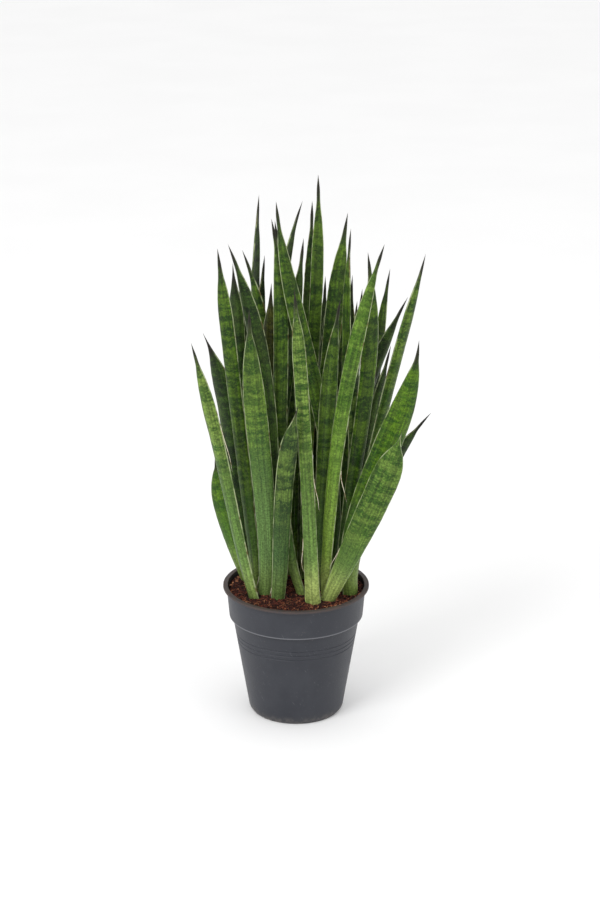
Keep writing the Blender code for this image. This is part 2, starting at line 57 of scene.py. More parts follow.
# ------------------------------------------------------------------ numbers
def srgb(red: int, green: int, blue: int) -> Colour:
    """Give linear RGB for an 8-bit display colour.

    Args:
        red: Red from 0 to 255.
        green: Green from 0 to 255.
        blue: Blue from 0 to 255.

    Returns:
        The colour's linear components, each from 0 to 1.
    """
    shares = np.array([red, green, blue]) / 255
    linear = np.where(shares <= 0.04045, shares / 12.92, ((shares + 0.055) / 1.055) ** 2.4)
    return tuple(float(part) for part in linear)


def smooth_curve(places: np.ndarray, values: np.ndarray, at: np.ndarray) -> np.ndarray:
    """Interpolate rows of values with a cubic Hermite curve.

    The slope at each place is the second-order difference of its neighbours,
    and each span is the usual blend of its two ends and their slopes.

    Args:
        places: Rising positions, one for each row of values.
        values: Rows of numbers to interpolate.
        at: Positions to evaluate.

    Returns:
        One row of values for each position.
    """
    slopes = np.gradient(values, places, axis=0)
    index = np.clip(np.searchsorted(places, at, side="right") - 1, 0, len(places) - 2)
    span = (places[index + 1] - places[index])[:, None]
    share = (at - places[index])[:, None] / span
    rise = share ** 2 * (3 - 2 * share)
    leave = share * (1 - share) ** 2
    arrive = share ** 2 * (share - 1)
    start, end = values[index], values[index + 1]
    return start + (end - start) * rise + span * (leave * slopes[index] + arrive * slopes[index + 1])


def ripple(at: np.ndarray, pitch: float, seed: int) -> np.ndarray:
    """Give smooth random waves from -1 to 1 along a line.

    Random heights stand at every pitch, and a smoothstep joins each to the next.

    Args:
        at: Positions along the line.
        pitch: Distance between two random heights.
        seed: Seed of the heights.

    Returns:
        A height for each position.
    """
    heights = np.random.default_rng(seed).uniform(-1, 1, 512)
    steps = np.asarray(at) / pitch
    low = np.floor(steps).astype(int)
    share = steps - low
    share = share ** 2 * (3 - 2 * share)
    return heights[low % 512] * (1 - share) + heights[(low + 1) % 512] * share


def rough_field(x: np.ndarray, y: np.ndarray, pitch: float, seed: int) -> np.ndarray:
    """Give smooth random bumps from -1 to 1 over a plane.

    Random heights stand on a square lattice, and smoothsteps along X and Y blend
    the four round each point.

    Args:
        x: Positions along X.
        y: Positions along Y.
        pitch: Lattice spacing.
        seed: Seed of the heights.

    Returns:
        A height for each point.
    """
    heights = np.random.default_rng(seed).uniform(-1, 1, (256, 256))
    column, row = x / pitch, y / pitch
    left, low = np.floor(column).astype(int), np.floor(row).astype(int)
    u, v = column - left, row - low
    u, v = u ** 2 * (3 - 2 * u), v ** 2 * (3 - 2 * v)
    near = heights[left % 256, low % 256] * (1 - u) + heights[(left + 1) % 256, low % 256] * u
    far = heights[left % 256, (low + 1) % 256] * (1 - u) + heights[(left + 1) % 256, (low + 1) % 256] * u
    return near * (1 - v) + far * v


# -------------------------------------------------------------------- meshes
def grid_faces(rows: int, columns: int) -> np.ndarray:
    """List the quads of a grid whose columns close on themselves.

    Args:
        rows: Rings in the grid.
        columns: Points in each ring.

    Returns:
        Four point numbers for each quad.
    """
    row = np.arange(rows - 1)[:, None] * columns
    column = np.arange(columns)[None]
    after = (column + 1) % columns
    quads = [row + column, row + after, row + columns + after, row + columns + column]
    return np.stack(quads, -1).reshape(-1, 4)


def fan_faces(centre: int, ring: np.ndarray) -> np.ndarray:
    """List the triangles that close a ring of points round a centre point."""
    return np.stack([np.full(len(ring), centre), ring, np.roll(ring, -1)], -1)


def make_piece(
    name: str,
    points: np.ndarray,
    faces: list[np.ndarray],
    layers: dict[str, np.ndarray] | None = None,
    smooth: bool = True,
) -> bpy.types.Object:
    """Make an object at the origin from whole arrays.

    Args:
        name: The object's name.
        points: Point positions.
        faces: Arrays of faces, each with one number of corners.
        layers: Point attributes by name, of one or three numbers a point.
        smooth: Whether faces shade smoothly.

    Returns:
        The linked object.
    """
    mesh = bpy.data.meshes.new(name)
    corners = [face for group in faces for face in group.tolist()]
    mesh.from_pydata(np.asarray(points, float).tolist(), [], corners)
    for layer, values in (layers or {}).items():
        flat = values.ndim == 1
        attribute = mesh.attributes.new(layer, "FLOAT" if flat else "FLOAT_VECTOR", "POINT")
        attribute.data.foreach_set("value" if flat else "vector", np.asarray(values, np.float32).ravel())
    mesh.polygons.foreach_set("use_smooth", np.full(len(mesh.polygons), smooth))
    mesh.update()
    piece = bpy.data.objects.new(name, mesh)
    bpy.context.scene.collection.objects.link(piece)
    return piece


def faced_outwards(points: np.ndarray, faces: list[np.ndarray]) -> list[np.ndarray]:
    """Turn all faces of a closed skin over if its signed volume is negative.

    Args:
        points: Point positions.
        faces: Arrays of faces, wound alike.

    Returns:
        The faces, wound outwards.
    """
    centre = points.mean(0)
    volume = 0.0
    for group in faces:
        corners = points[group] - centre
        for last in range(2, group.shape[1]):
            normal = np.cross(corners[:, last - 1], corners[:, last])
            volume += (corners[:, 0] * normal).sum()
    return faces if volume > 0 else [group[:, ::-1] for group in faces]


def dress(piece: bpy.types.Object, material: bpy.types.Material, slot: str, *nodes: str) -> None:
    """Give a piece its material and tie it to the frame.

    Args:
        piece: The finished piece.
        material: Its material.
        slot: The record's material slot; not used.
        nodes: CAD nodes that it stands for.
    """
    piece.data.materials.clear()
    piece.data.materials.append(material)
    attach(piece, BODY)
    if nodes:
        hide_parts(*nodes)
    stands_for = ", ".join(nodes) or "itself"
    LOG.info("%s: %d faces, stands for %s", piece.name, len(piece.data.polygons), stands_for)


# ------------------------------------------------------------------- shaders
class Finish:
    """A material under construction, with short ways to add its nodes."""

    def __init__(self, name: str) -> None:
        """Start an empty material with a Principled shader."""
        self.material = bpy.data.materials.new(name)
        self.material.use_nodes = True
        self.tree = self.material.node_tree
        self.tree.nodes.clear()
        output = self.tree.nodes.new("ShaderNodeOutputMaterial")
        self.shader = self.tree.nodes.new("ShaderNodeBsdfPrincipled")
        self.tree.links.new(self.shader.outputs[0], output.inputs["Surface"])

    def put(self, socket: bpy.types.NodeSocket, value: object) -> None:
        """Link an output to a socket, or set the socket to a number or colour."""
        if isinstance(value, bpy.types.NodeSocket):
            self.tree.links.new(value, socket)
        elif socket.type == "RGBA":
            socket.default_value = (*value, 1.0)
        else:
            socket.default_value = value

    def set(self, **values: object) -> None:
        """Set the shader's own sockets, named with underscores for spaces."""
        for name, value in values.items():
            self.put(self.shader.inputs[name.replace("_", " ")], value)

    def sum(self, operation: str, first: object, second: object = 0.0) -> bpy.types.NodeSocket:
        """Add a Math node.

        Args:
            operation: Its operation.
            first: First number or output.
            second: Second number or output.

        Returns:
            The result.
        """
        node = self.tree.nodes.new("ShaderNodeMath")
        node.operation = operation
        self.put(node.inputs[0], first)
        self.put(node.inputs[1], second)
        return node.outputs[0]

    def step(self, value: object, low: float, high: float, start: float = 0.0,
             end: float = 1.0) -> bpy.types.NodeSocket:
        """Ease from one number to another as a value goes from low to high.

        Args:
            value: The output to follow.
            low: Value where easing starts.
            high: Value where easing ends.
            start: Result at low.
            end: Result at high.

        Returns:
            The eased number.
        """
        node = self.tree.nodes.new("ShaderNodeMapRange")
        node.interpolation_type = "SMOOTHSTEP"
        self.put(node.inputs[0], value)
        for index, number in enumerate((low, high, start, end), 1):
            self.put(node.inputs[index], number)
        return node.outputs[0]

    def blend(self, share: object, first: object, second: object, kind: str = "MIX") -> bpy.types.NodeSocket:
        """Mix two colours.

        Args:
            share: Share of the second.
            first: First colour.
            second: Second colour.
            kind: Way of blending.

        Returns:
            The mixed colour.
        """
        node = self.tree.nodes.new("ShaderNodeMix")
        node.data_type = "RGBA"
        node.blend_type = kind
        self.put(node.inputs["Factor"], share)
        self.put(node.inputs[6], first)
        self.put(node.inputs[7], second)
        return node.outputs[2]

    def vector(self, x: object, y: object, z: object) -> bpy.types.NodeSocket:
        """Join three numbers into a vector."""
        node = self.tree.nodes.new("ShaderNodeCombineXYZ")
        for socket, value in zip(node.inputs, (x, y, z)):
            self.put(socket, value)
        return node.outputs[0]

    def parts(self, vector: bpy.types.NodeSocket) -> tuple[bpy.types.NodeSocket, ...]:
        """Split a vector into its three numbers."""
        node = self.tree.nodes.new("ShaderNodeSeparateXYZ")
        self.put(node.inputs[0], vector)
        return tuple(node.outputs)

    def layer(self, name: str, output: str = "Vector") -> bpy.types.NodeSocket:
        """Read a point attribute."""
        node = self.tree.nodes.new("ShaderNodeAttribute")
        node.attribute_name = name
        return node.outputs[output]

    def place(self) -> bpy.types.NodeSocket:
        """Read Object coordinates."""
        return self.tree.nodes.new("ShaderNodeTexCoord").outputs["Object"]

    def noise(self, vector: object, scale: float, detail: float = 2.0,
              rough: float = 0.5) -> bpy.types.NodeSocket:
        """Add fractal noise.

        Args:
            vector: Where to read it.
            scale: Bumps in each unit of the vector.
            detail: Finer octaves.
            rough: Share of each finer octave.

        Returns:
            Noise, about 0.5 at its middle.
        """
        node = self.tree.nodes.new("ShaderNodeTexNoise")
        self.put(node.inputs["Vector"], vector)
        self.put(node.inputs["Scale"], scale)
        self.put(node.inputs["Detail"], detail)
        self.put(node.inputs["Roughness"], rough)
        return node.outputs["Fac"]

    def stretched(self, x: object, y: object, z: object, across: float, along: float,
                  detail: float = 2.0) -> bpy.types.NodeSocket:
        """Add noise with its own fineness across and along a blade."""
        vector = self.vector(self.sum("MULTIPLY", x, across), self.sum("MULTIPLY", y, along), z)
        return self.noise(vector, 1.0, detail, 0.55)

    def relief(self, height: bpy.types.NodeSocket, strength: float, depth: float) -> None:
        """Drive the shader's normal with a bump.

        Args:
            height: Height from 0 to 1.
            strength: Bump strength.
            depth: Depth that a height of 1 stands for.
        """
        node = self.tree.nodes.new("ShaderNodeBump")
        node.inputs["Strength"].default_value = strength
        node.inputs["Distance"].default_value = depth
        self.put(node.inputs["Height"], height)
        self.put(self.shader.inputs["Normal"], node.outputs[0])


@dataclass(frozen=True)
class LeafFinish:
    """Waxy green leaf skin with irregular lighter cross-bands.

    deep, light and foot are the ground, the bands and the pale lower part; root
    is the yellow-green of the lowest end, mixed in by root_share, and scorch is
    how far from the tip the dark point begins to fade in.
    """

    name: str
    deep: Colour
    light: Colour
    foot: Colour
    banding: float
    pitch: float = 0.011
    foot_reach: float = 0.13
    lines: float = 0.35
    root_share: float = 0.35
    scorch: float = 0.044
    root: Colour = srgb(156, 170, 96)
    margin: Colour = srgb(164, 174, 132)
    slot: str = "leaf_green"

    def build(self) -> bpy.types.Material:
        """Build the leaf skin.

        Returns:
            The material. It reads three point attributes of a blade: grain
            (distance across, distance along, seed), sheet (place across from -1
            to 1, place along from 0 to 1, side from -1 to 1) and rims (distance
            from the margin, distance from the tip, half width).
        """
        skin = Finish(self.name)
        x, y, seed = skin.parts(skin.layer("grain"))
        across, _along, _side = skin.parts(skin.layer("sheet"))
        rim, tip, half = skin.parts(skin.layer("rims"))

        fibre = skin.stretched(x, y, seed, 1500, 16)
        streak = skin.stretched(x, y, seed, 420, 7)
        zigzag = skin.stretched(x, y, seed, 230, 80)
        jag = skin.sum("MULTIPLY", skin.sum("SUBTRACT", fibre, 0.5), 0.65 * self.pitch)
        wander = skin.sum("MULTIPLY", skin.sum("SUBTRACT", zigzag, 0.5), 1.1 * self.pitch)
        bent = skin.sum("ADD", y, skin.sum("ADD", jag, wander))
        bands = skin.stretched(x, bent, seed, 22, 0.62 / self.pitch, 2.5)
        fine = skin.stretched(x, bent, skin.sum("ADD", seed, 31.7), 150, 2.6 / self.pitch, 2.0)

        above_foot = skin.step(y, 0.35 * self.foot_reach, self.foot_reach)
        banded = skin.step(bands, 0.44, 0.58)
        strength = skin.sum("MULTIPLY", skin.sum("MULTIPLY", banded, above_foot), self.banding)
        colour = skin.blend(strength, self.deep, self.light)
        thin = skin.sum("MULTIPLY", skin.step(fine, 0.52, 0.64), self.lines)
        colour = skin.blend(skin.sum("MULTIPLY", thin, above_foot), colour, self.light)
        dark_thin = skin.sum("MULTIPLY", skin.step(fine, 0.47, 0.37), 0.9 * self.lines)
        shade = tuple(0.55 * part for part in self.deep)
        colour = skin.blend(skin.sum("MULTIPLY", dark_thin, above_foot), colour, shade)

        pale = skin.step(skin.sum("ADD", y, skin.sum("MULTIPLY", skin.sum("SUBTRACT", streak, 0.5), 0.06)),
                         0.15 * self.foot_reach, 1.15 * self.foot_reach, 0.92, 0.0)
        colour = skin.blend(pale, colour, self.foot)
        root = skin.step(y, 0.014, 0.060, self.root_share, 0.0)
        colour = skin.blend(root, colour, self.root)

        bloom = skin.step(skin.stretched(x, y, seed, 60, 14, 3.0), 0.42, 0.72, 0.0, 0.22)
        colour = skin.blend(bloom, colour, srgb(94, 118, 50))
        tone = skin.step(streak, 0.30, 0.70, 0.66, 1.28)
        colour = skin.blend(1.0, colour, skin.vector(tone, tone, tone), "MULTIPLY")
        lines = skin.step(fibre, 0.3, 0.72, 0.84, 1.14)
        colour = skin.blend(1.0, colour, skin.vector(lines, lines, lines), "MULTIPLY")
        mottle = skin.step(skin.noise(skin.vector(x, y, seed), 420, 3.0, 0.7), 0.34, 0.66, 0.66, 1.34)
        colour = skin.blend(1.0, colour, skin.vector(mottle, mottle, mottle), "MULTIPLY")
        speck = skin.step(skin.noise(skin.vector(x, y, seed), 1100, 1.0), 0.64, 0.74, 0.0, 0.45)
        colour = skin.blend(speck, colour, srgb(130, 150, 72))

        worn = skin.stretched(across, y, seed, 0.6, 60)
        edge = skin.step(rim, 0.00034, 0.00095, 1.0, 0.0)
        edge = skin.sum("MULTIPLY", edge, skin.step(worn, 0.36, 0.56, 0.12, 0.9))
        rim_colour = skin.blend(skin.step(worn, 0.56, 0.70), self.margin, srgb(104, 90, 58))
        colour = skin.blend(edge, colour, rim_colour)

        tip_noise = skin.sum("MULTIPLY", skin.sum("SUBTRACT", streak, 0.5), 0.02)
        scorched = skin.step(skin.sum("ADD", tip, tip_noise), 0.3 * self.scorch, self.scorch, 1.0, 0.0)
        scorched = skin.sum("MULTIPLY", scorched, skin.step(half, 0.0032, 0.0068, 1.0, 0.0))
        colour = skin.blend(skin.sum("MULTIPLY", scorched, 0.94), colour, srgb(30, 26, 24))
        skin.set(Base_Color=colour)

        gloss = skin.step(fibre, 0.2, 0.8, 0.36, 0.52)
        gloss = skin.sum("ADD", gloss, skin.sum("MULTIPLY", bloom, 0.35))
        skin.set(Roughness=skin.sum("ADD", gloss, skin.sum("MULTIPLY", scorched, 0.15)))
        skin.set(Specular_IOR_Level=0.2)
        pores = skin.noise(skin.vector(x, skin.sum("MULTIPLY", y, 0.5), seed), 2600, 2.0)
        height = skin.sum("ADD", skin.sum("MULTIPLY", fibre, 0.55), skin.sum("MULTIPLY", streak, 0.9))
        height = skin.sum("ADD", height, skin.sum("MULTIPLY", pores, 0.18))
        height = skin.sum("ADD", height, skin.sum("MULTIPLY", bands, 0.35))
        skin.relief(height, 0.45, 0.0007)
        return skin.material


@dataclass(frozen=True)
class PotFinish:
    """Dark slate-grey moulded plastic with fine scratches, a dusty lip and a painted highlight along the lower
    edge of the rim band.
    """

    name: str = "slate_pot_plastic"
    ground: Colour = srgb(43, 45, 52)
    worn: Colour = srgb(67, 69, 75)
    dust: Colour = srgb(74, 60, 54)
    slot: str = "pot_plastic"

    def build(self, lip: float, band: float) -> bpy.types.Material:
        """Build the plastic.

        Args:
            lip: Height of the top of the lip.
            band: Height of the lower end of the rim band.

        Returns:
            The material.
        """
        skin = Finish(self.name)
        place = skin.place()
        x, y, z = skin.parts(place)
        cloud = skin.noise(place, 26, 4.0, 0.6)
        flow = skin.noise(skin.vector(x, y, skin.sum("MULTIPLY", z, 0.16)), 90, 3.0, 0.6)
        grain = skin.noise(place, 2300, 2.0)
        colour = skin.blend(skin.step(cloud, 0.35, 0.75, 0.0, 0.3), self.ground, self.worn)
        darker = tuple(0.72 * part for part in self.ground)
        colour = skin.blend(skin.step(flow, 0.5, 0.8, 0.0, 0.22), colour, darker)

        slanted = skin.vector(skin.sum("ADD", x, skin.sum("MULTIPLY", z, 0.5)), y,
                              skin.sum("MULTIPLY", z, 0.05))
        scratch = skin.step(skin.noise(slanted, 900, 1.0), 0.685, 0.72, 0.0, 1.0)
        sparse = skin.step(skin.noise(place, 38, 2.0), 0.5, 0.62)
        scratch = skin.sum("MULTIPLY", skin.sum("MULTIPLY", scratch, sparse), 0.4)
        colour = skin.blend(scratch, colour, srgb(96, 98, 102))
        speck = skin.step(skin.noise(place, 620, 1.0), 0.73, 0.79, 0.0, 0.35)
        colour = skin.blend(speck, colour, srgb(104, 100, 96))

        smudge = skin.noise(place, 150, 3.0, 0.65)
        on_lip = skin.step(z, lip - 0.0045, lip - 0.0006)
        on_lip = skin.sum("MULTIPLY", on_lip, skin.step(smudge, 0.3, 0.6, 0.3, 0.8))
        colour = skin.blend(on_lip, colour, self.dust)
        # Painted highlight: a lighter grey line along the lower edge of the rim band, standing in for the light
        # that this edge catches.
        painted_band_highlight = skin.sum("MULTIPLY", skin.step(z, band - 0.0006, band + 0.0002),
                              skin.step(z, band + 0.0022, band + 0.0010))
        colour = skin.blend(skin.sum("MULTIPLY", painted_band_highlight, 0.6), colour, srgb(122, 123, 128))
        foot = skin.step(z, 0.012, 0.0, 0.0, 1.0)
        foot = skin.sum("MULTIPLY", foot, skin.step(smudge, 0.4, 0.65, 0.1, 0.55))
        colour = skin.blend(foot, colour, srgb(118, 112, 105))
        skin.set(Base_Color=colour)

        gloss = skin.step(cloud, 0.3, 0.75, 0.40, 0.54)
        gloss = skin.sum("ADD", gloss, skin.sum("MULTIPLY", skin.sum("ADD", on_lip, scratch), 0.25))
        skin.set(Roughness=gloss, Specular_IOR_Level=0.36)
        rings = skin.noise(skin.vector(0.0, 0.0, z), 1500, 2.0)
        height = skin.sum("ADD", skin.sum("MULTIPLY", grain, 0.5), skin.sum("MULTIPLY", rings, 0.35))
        height = skin.sum("ADD", height, skin.sum("MULTIPLY", flow, 0.8))
        height = skin.sum("SUBTRACT", height, skin.sum("MULTIPLY", scratch, 0.6))
        skin.relief(height, 0.22, 0.0006)
        return skin.material


@dataclass(frozen=True)
class MixFinish:
    """Crumbly potting mix, whose point attribute tint goes from dark to tan."""

    name: str
    shades: tuple[Colour, ...]
    roughness: float = 0.92
    slot: str = "potting_soil"

    def build(self) -> bpy.types.Material:
        """Build the mix.

        Returns:
            The material.
        """
        skin = Finish(self.name)
        place = skin.place()
        tint = skin.layer("tint", "Fac")
        stain = skin.noise(place, 420, 3.0, 0.6)
        shade = skin.sum("ADD", tint, skin.sum("MULTIPLY", skin.sum("SUBTRACT", stain, 0.5), 0.5))
        ramp = skin.tree.nodes.new("ShaderNodeValToRGB")
        for _ in self.shades[2:]:
            ramp.color_ramp.elements.new(0.5)
        for index, (element, colour) in enumerate(zip(ramp.color_ramp.elements, self.shades)):
            element.position = index / (len(self.shades) - 1)
            element.color = (*colour, 1.0)
        skin.put(ramp.inputs[0], shade)
        damp = skin.step(skin.noise(place, 45, 2.0), 0.35, 0.65, 0.7, 1.1)
        colour = skin.blend(1.0, ramp.outputs[0], skin.vector(damp, damp, damp), "MULTIPLY")
        skin.set(Base_Color=colour, Specular_IOR_Level=0.25)
        skin.set(Roughness=skin.step(stain, 0.3, 0.7, self.roughness - 0.12, self.roughness))
        grit = skin.noise(place, 2600, 3.0, 0.65)
        skin.relief(skin.sum("ADD", grit, stain), 0.6, 0.0006)
        return skin.material


@dataclass(frozen=True)
class FibreFinish:
    """Dry fibre that has split from a leaf's margin, cream to pale brown."""

    name: str = "dry_margin_fibre"
    cream: Colour = srgb(214, 206, 182)
    brown: Colour = srgb(150, 124, 92)
    slot: str = "leaf_pale"

    def build(self) -> bpy.types.Material:
        """Build the fibre.

        Returns:
            The material.
        """
        skin = Finish(self.name)
        place = skin.place()
        stain = skin.noise(place, 160, 3.0, 0.6)
        skin.set(Base_Color=skin.blend(skin.step(stain, 0.48, 0.66), self.cream, self.brown))
        skin.set(Roughness=skin.step(stain, 0.3, 0.7, 0.5, 0.7), Specular_IOR_Level=0.4)
        skin.relief(skin.noise(place, 1900, 2.0), 0.5, 0.0003)
        return skin.material


@dataclass(frozen=True)
class FloorFinish:
    """Plain pale studio floor."""

    name: str = "pale_floor"
    pale: Colour = (0.9, 0.9, 0.9)

    def build(self) -> bpy.types.Material:
        """Build the floor's paint."""
        skin = Finish(self.name)
        haze = skin.noise(skin.place(), 3.0, 2.0)
        hazy = tuple(0.985 * part for part in self.pale)
        skin.set(Base_Color=skin.blend(skin.step(haze, 0.3, 0.7), self.pale, hazy))
        skin.set(Roughness=0.85, Specular_IOR_Level=0.1)
        return skin.material


class LeafLook(Enum):
    """The looks that the plant's leaves come in."""

    FRESH = LeafFinish(
        "leaf_fresh", srgb(56, 88, 18), srgb(102, 132, 46), srgb(116, 144, 54),
        banding=0.50, pitch=0.0065, foot_reach=0.20, lines=0.42, root_share=0.85, slot="leaf_pale")
    PALE = LeafFinish(
        "leaf_pale_mottled", srgb(44, 74, 16), srgb(112, 136, 58), srgb(86, 116, 56),
        banding=0.66, pitch=0.0055, foot_reach=0.21, lines=0.55, slot="leaf_pale")
    YOUNG = LeafFinish(
        "leaf_pale_foot", srgb(44, 74, 16), srgb(112, 136, 58), srgb(92, 120, 56),
        banding=0.60, pitch=0.0055, foot_reach=0.21, lines=0.50, root_share=0.85, slot="leaf_pale")
    CROSSED = LeafFinish(
        "leaf_cross_banded", srgb(46, 78, 18), srgb(100, 126, 50), srgb(96, 126, 58),
        banding=0.62, pitch=0.0058, foot_reach=0.10, lines=0.55, root_share=0.75, scorch=0.014,
        slot="leaf_pale")
    STRIPED = LeafFinish(
        "leaf_strong_banded", srgb(28, 52, 16), srgb(88, 112, 46), srgb(60, 88, 44),
        banding=0.76, pitch=0.0100, foot_reach=0.13, lines=0.55, root_share=0.15, scorch=0.026)
    GREY = LeafFinish(
        "leaf_grey_green", srgb(38, 68, 14), srgb(92, 118, 40), srgb(94, 124, 66),
        banding=0.68, pitch=0.0066, foot_reach=0.23, lines=0.60, root_share=0.2)
    MIDDLE = LeafFinish(
        "leaf_middle_green", srgb(28, 56, 6), srgb(76, 104, 22), srgb(64, 94, 36),
        banding=0.70, pitch=0.0075, foot_reach=0.15, lines=0.55)
    # Very dark green for the inner and back leaves: partly their own darker green, partly painted shade standing
    # in for the shadow deep among the leaves.
    DARK_WITH_PAINTED_SHADE = LeafFinish(
        "leaf_dark_green_painted_shade", srgb(16, 36, 6), srgb(48, 74, 18), srgb(38, 62, 24),
        banding=0.68, pitch=0.0080, foot_reach=0.13, lines=0.55)
    VIVID = LeafFinish(
        "leaf_vivid_green", srgb(38, 74, 4), srgb(84, 116, 20), srgb(70, 106, 28),
        banding=0.62, pitch=0.0068, foot_reach=0.11, lines=0.55)
    OLIVE = LeafFinish(
        "leaf_olive", srgb(40, 46, 6), srgb(74, 74, 20), srgb(56, 68, 26),
        banding=0.6, pitch=0.0080, foot_reach=0.13, lines=0.5)


# --------------------------------------------------------------------- plant
@dataclass
class Blade:
    """One leaf blade, carried along its CAD solid's own spine."""

    node: str
    seed: int
    rows: int = 150
    tip_rows: int = 22
    columns: int = 26
    tip_zone: float = 0.030
    margin_wave: float = 0.00045
    wave_pitches: tuple[float, float] = (0.031, 0.037)
    width_ripple: float = 0.00025
    fray_pitches: tuple[float, float] = (0.011, 0.013)
    flute_height: float = 0.00010
    flute_turns: float = 9.5
    flute_pitch: float = 0.09
    calm_end: float = 0.06
    soil_level: float = 0.152
    stations: np.ndarray = field(init=False)
    arc: np.ndarray = field(init=False)

    def read_solid(self) -> None:
        """Read the spine and sections of the CAD leaf.

        The solid is a stack of eight-sided rings that ends in an apex. Walking
        out from the apex finds the rings. In each, the two points furthest
        apart are the margins, and the two nearest to their middle are the ridge
        and the channel's bed, which give the section's frame and its sizes.
        """
        shell = bmesh.new()
        shell.from_mesh(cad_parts[self.node].data)
        bmesh.ops.remove_doubles(shell, verts=shell.verts, dist=1e-6)
        apex = max(shell.verts, key=lambda vert: vert.co.z)
        seen, ring, rings = {apex}, [apex], []
        while ring:
            ring = list({edge.other_vert(vert) for vert in ring for edge in vert.link_edges} - seen)
            seen.update(ring)
            if ring:
                rings.append([tuple(vert.co) for vert in ring])
        top = np.array(apex.co)
        shell.free()
        stack = np.array(rings[::-1])
        count = np.arange(len(stack))
        spans = np.linalg.norm(stack[:, :, None] - stack[:, None], axis=-1)
        one, other = np.unravel_index(spans.reshape(len(stack), -1).argmax(1), spans.shape[1:])
        left, right = stack[count, one], stack[count, other]
        across = (right - left) / np.linalg.norm(right - left, axis=1)[:, None]
        middle = (left + right) / 2
        offset = np.abs(((stack - middle[:, None]) * across[:, None]).sum(-1))
        inner = np.argsort(offset, axis=1)[:, :2]
        ridge, bed = stack[count, inner[:, 0]], stack[count, inner[:, 1]]
        floor = (ridge + bed) / 2
        channel = np.linalg.norm(middle - floor, axis=1)
        facing = (middle - floor) / channel[:, None]
        centre = (middle + floor) / 2
        along = np.gradient(centre, axis=0)
        across *= np.sign((across * np.cross(facing, along)).sum(1))[:, None]
        width = np.linalg.norm(right - left, axis=1)
        depth = np.linalg.norm(ridge - bed, axis=1)
        table = np.column_stack([centre, across, facing, width, depth, channel])
        last = np.concatenate([top, across[-1], facing[-1], [0.0, 0.0, 0.0]])
        self.stations = np.vstack([table, last])
        steps = np.linalg.norm(np.diff(self.stations[:, :3], axis=0), axis=1)
        self.arc = np.concatenate([[0.0], np.cumsum(steps)])

    def sections(self, at: np.ndarray) -> tuple[np.ndarray, ...]:
        """Interpolate the blade's sections.

        Args:
            at: Distances along the spine from the foot.

        Returns:
            Centres, directions across, facing directions, widths, thicknesses
            and channel depths.
        """
        rows = smooth_curve(self.arc, self.stations, at)
        across = rows[:, 3:6] / np.linalg.norm(rows[:, 3:6], axis=1)[:, None]
        facing = rows[:, 6:9] - (rows[:, 6:9] * across).sum(1)[:, None] * across
        facing /= np.linalg.norm(facing, axis=1)[:, None]
        return rows[:, :3], across, facing, *np.clip(rows[:, 9:].T, 0.0, None)

    def surface(self, at: np.ndarray, angle: np.ndarray) -> tuple[np.ndarray, np.ndarray]:
        """Work out points of the blade's skin.

        With p the cosine and q the sine of the angle, a point stands p half
        widths across, and channel x (p squared - 1/2) + q half thicknesses
        towards the channelled side, so the section is an ellipse bent into a
        channel. Slow waves bend the margins and fine ones fray the width.

        Args:
            at: Distances along the spine, as a column.
            angle: Angles round the section, as a row.

        Returns:
            The points and the signed distance across.
        """
        centre, across, facing, width, depth, channel = self.sections(at)
        place, side = np.cos(angle), np.sin(angle)
        fade = np.clip((self.arc[-1] - at) / self.calm_end, 0.0, 1.0)
        right = place > 0
        fray = np.where(right, ripple(at, self.fray_pitches[0], self.seed)[:, None],
                        ripple(at, self.fray_pitches[1], self.seed + 1)[:, None])
        half = width[:, None] / 2 - self.width_ripple * np.abs(fray) * fade[:, None]
        out = place * half
        bend = np.where(right, ripple(at, self.wave_pitches[0], self.seed + 2)[:, None],
                        ripple(at, self.wave_pitches[1], self.seed + 3)[:, None])
        bend = bend * self.margin_wave * np.abs(place) ** 3 * fade[:, None]
        phase = ripple(at, self.flute_pitch, self.seed + 4)[:, None] * 2
        flute = self.flute_height * np.cos(self.flute_turns * place + phase) * (1 - place ** 2)
        lift = channel[:, None] * (place ** 2 - 0.5) + side * depth[:, None] / 2 + bend
        lift = lift + flute * fade[:, None] * np.sign(side)
        points = centre[:, None] + out[..., None] * across[:, None] + lift[..., None] * facing[:, None]
        return points, out

    def root_line(self) -> np.ndarray:
        """Give three points across the blade where it meets the soil."""
        level = np.interp(self.soil_level, self.stations[:-1, 2], self.arc[:-1])
        centre, across, facing, width, _depth, channel = self.sections(np.array([level]))
        share = np.array([-1.0, 0.0, 1.0])[:, None]
        return centre + share * width / 2 * across + (share ** 2 - 0.5) * channel * facing

    def margin_point(self, share: float, side: float) -> tuple[np.ndarray, np.ndarray, np.ndarray]:
        """Find a point on a margin.

        Args:
            share: Place from the soil to the tip, from 0 to 1.
            side: -1 or 1 for the two margins.

        Returns:
            The point, the direction outwards and the direction up the blade.
        """
        level = np.interp(self.soil_level, self.stations[:-1, 2], self.arc[:-1])
        at = level + share * (self.arc[-1] - level) + np.array([-0.002, 0.0, 0.002])
        centre, across, facing, width, _depth, channel = self.sections(at)
        points = centre + side * width[:, None] / 2 * across + 0.5 * channel[:, None] * facing
        upward = points[2] - points[0]
        return points[1], side * across[1], upward / np.linalg.norm(upward)

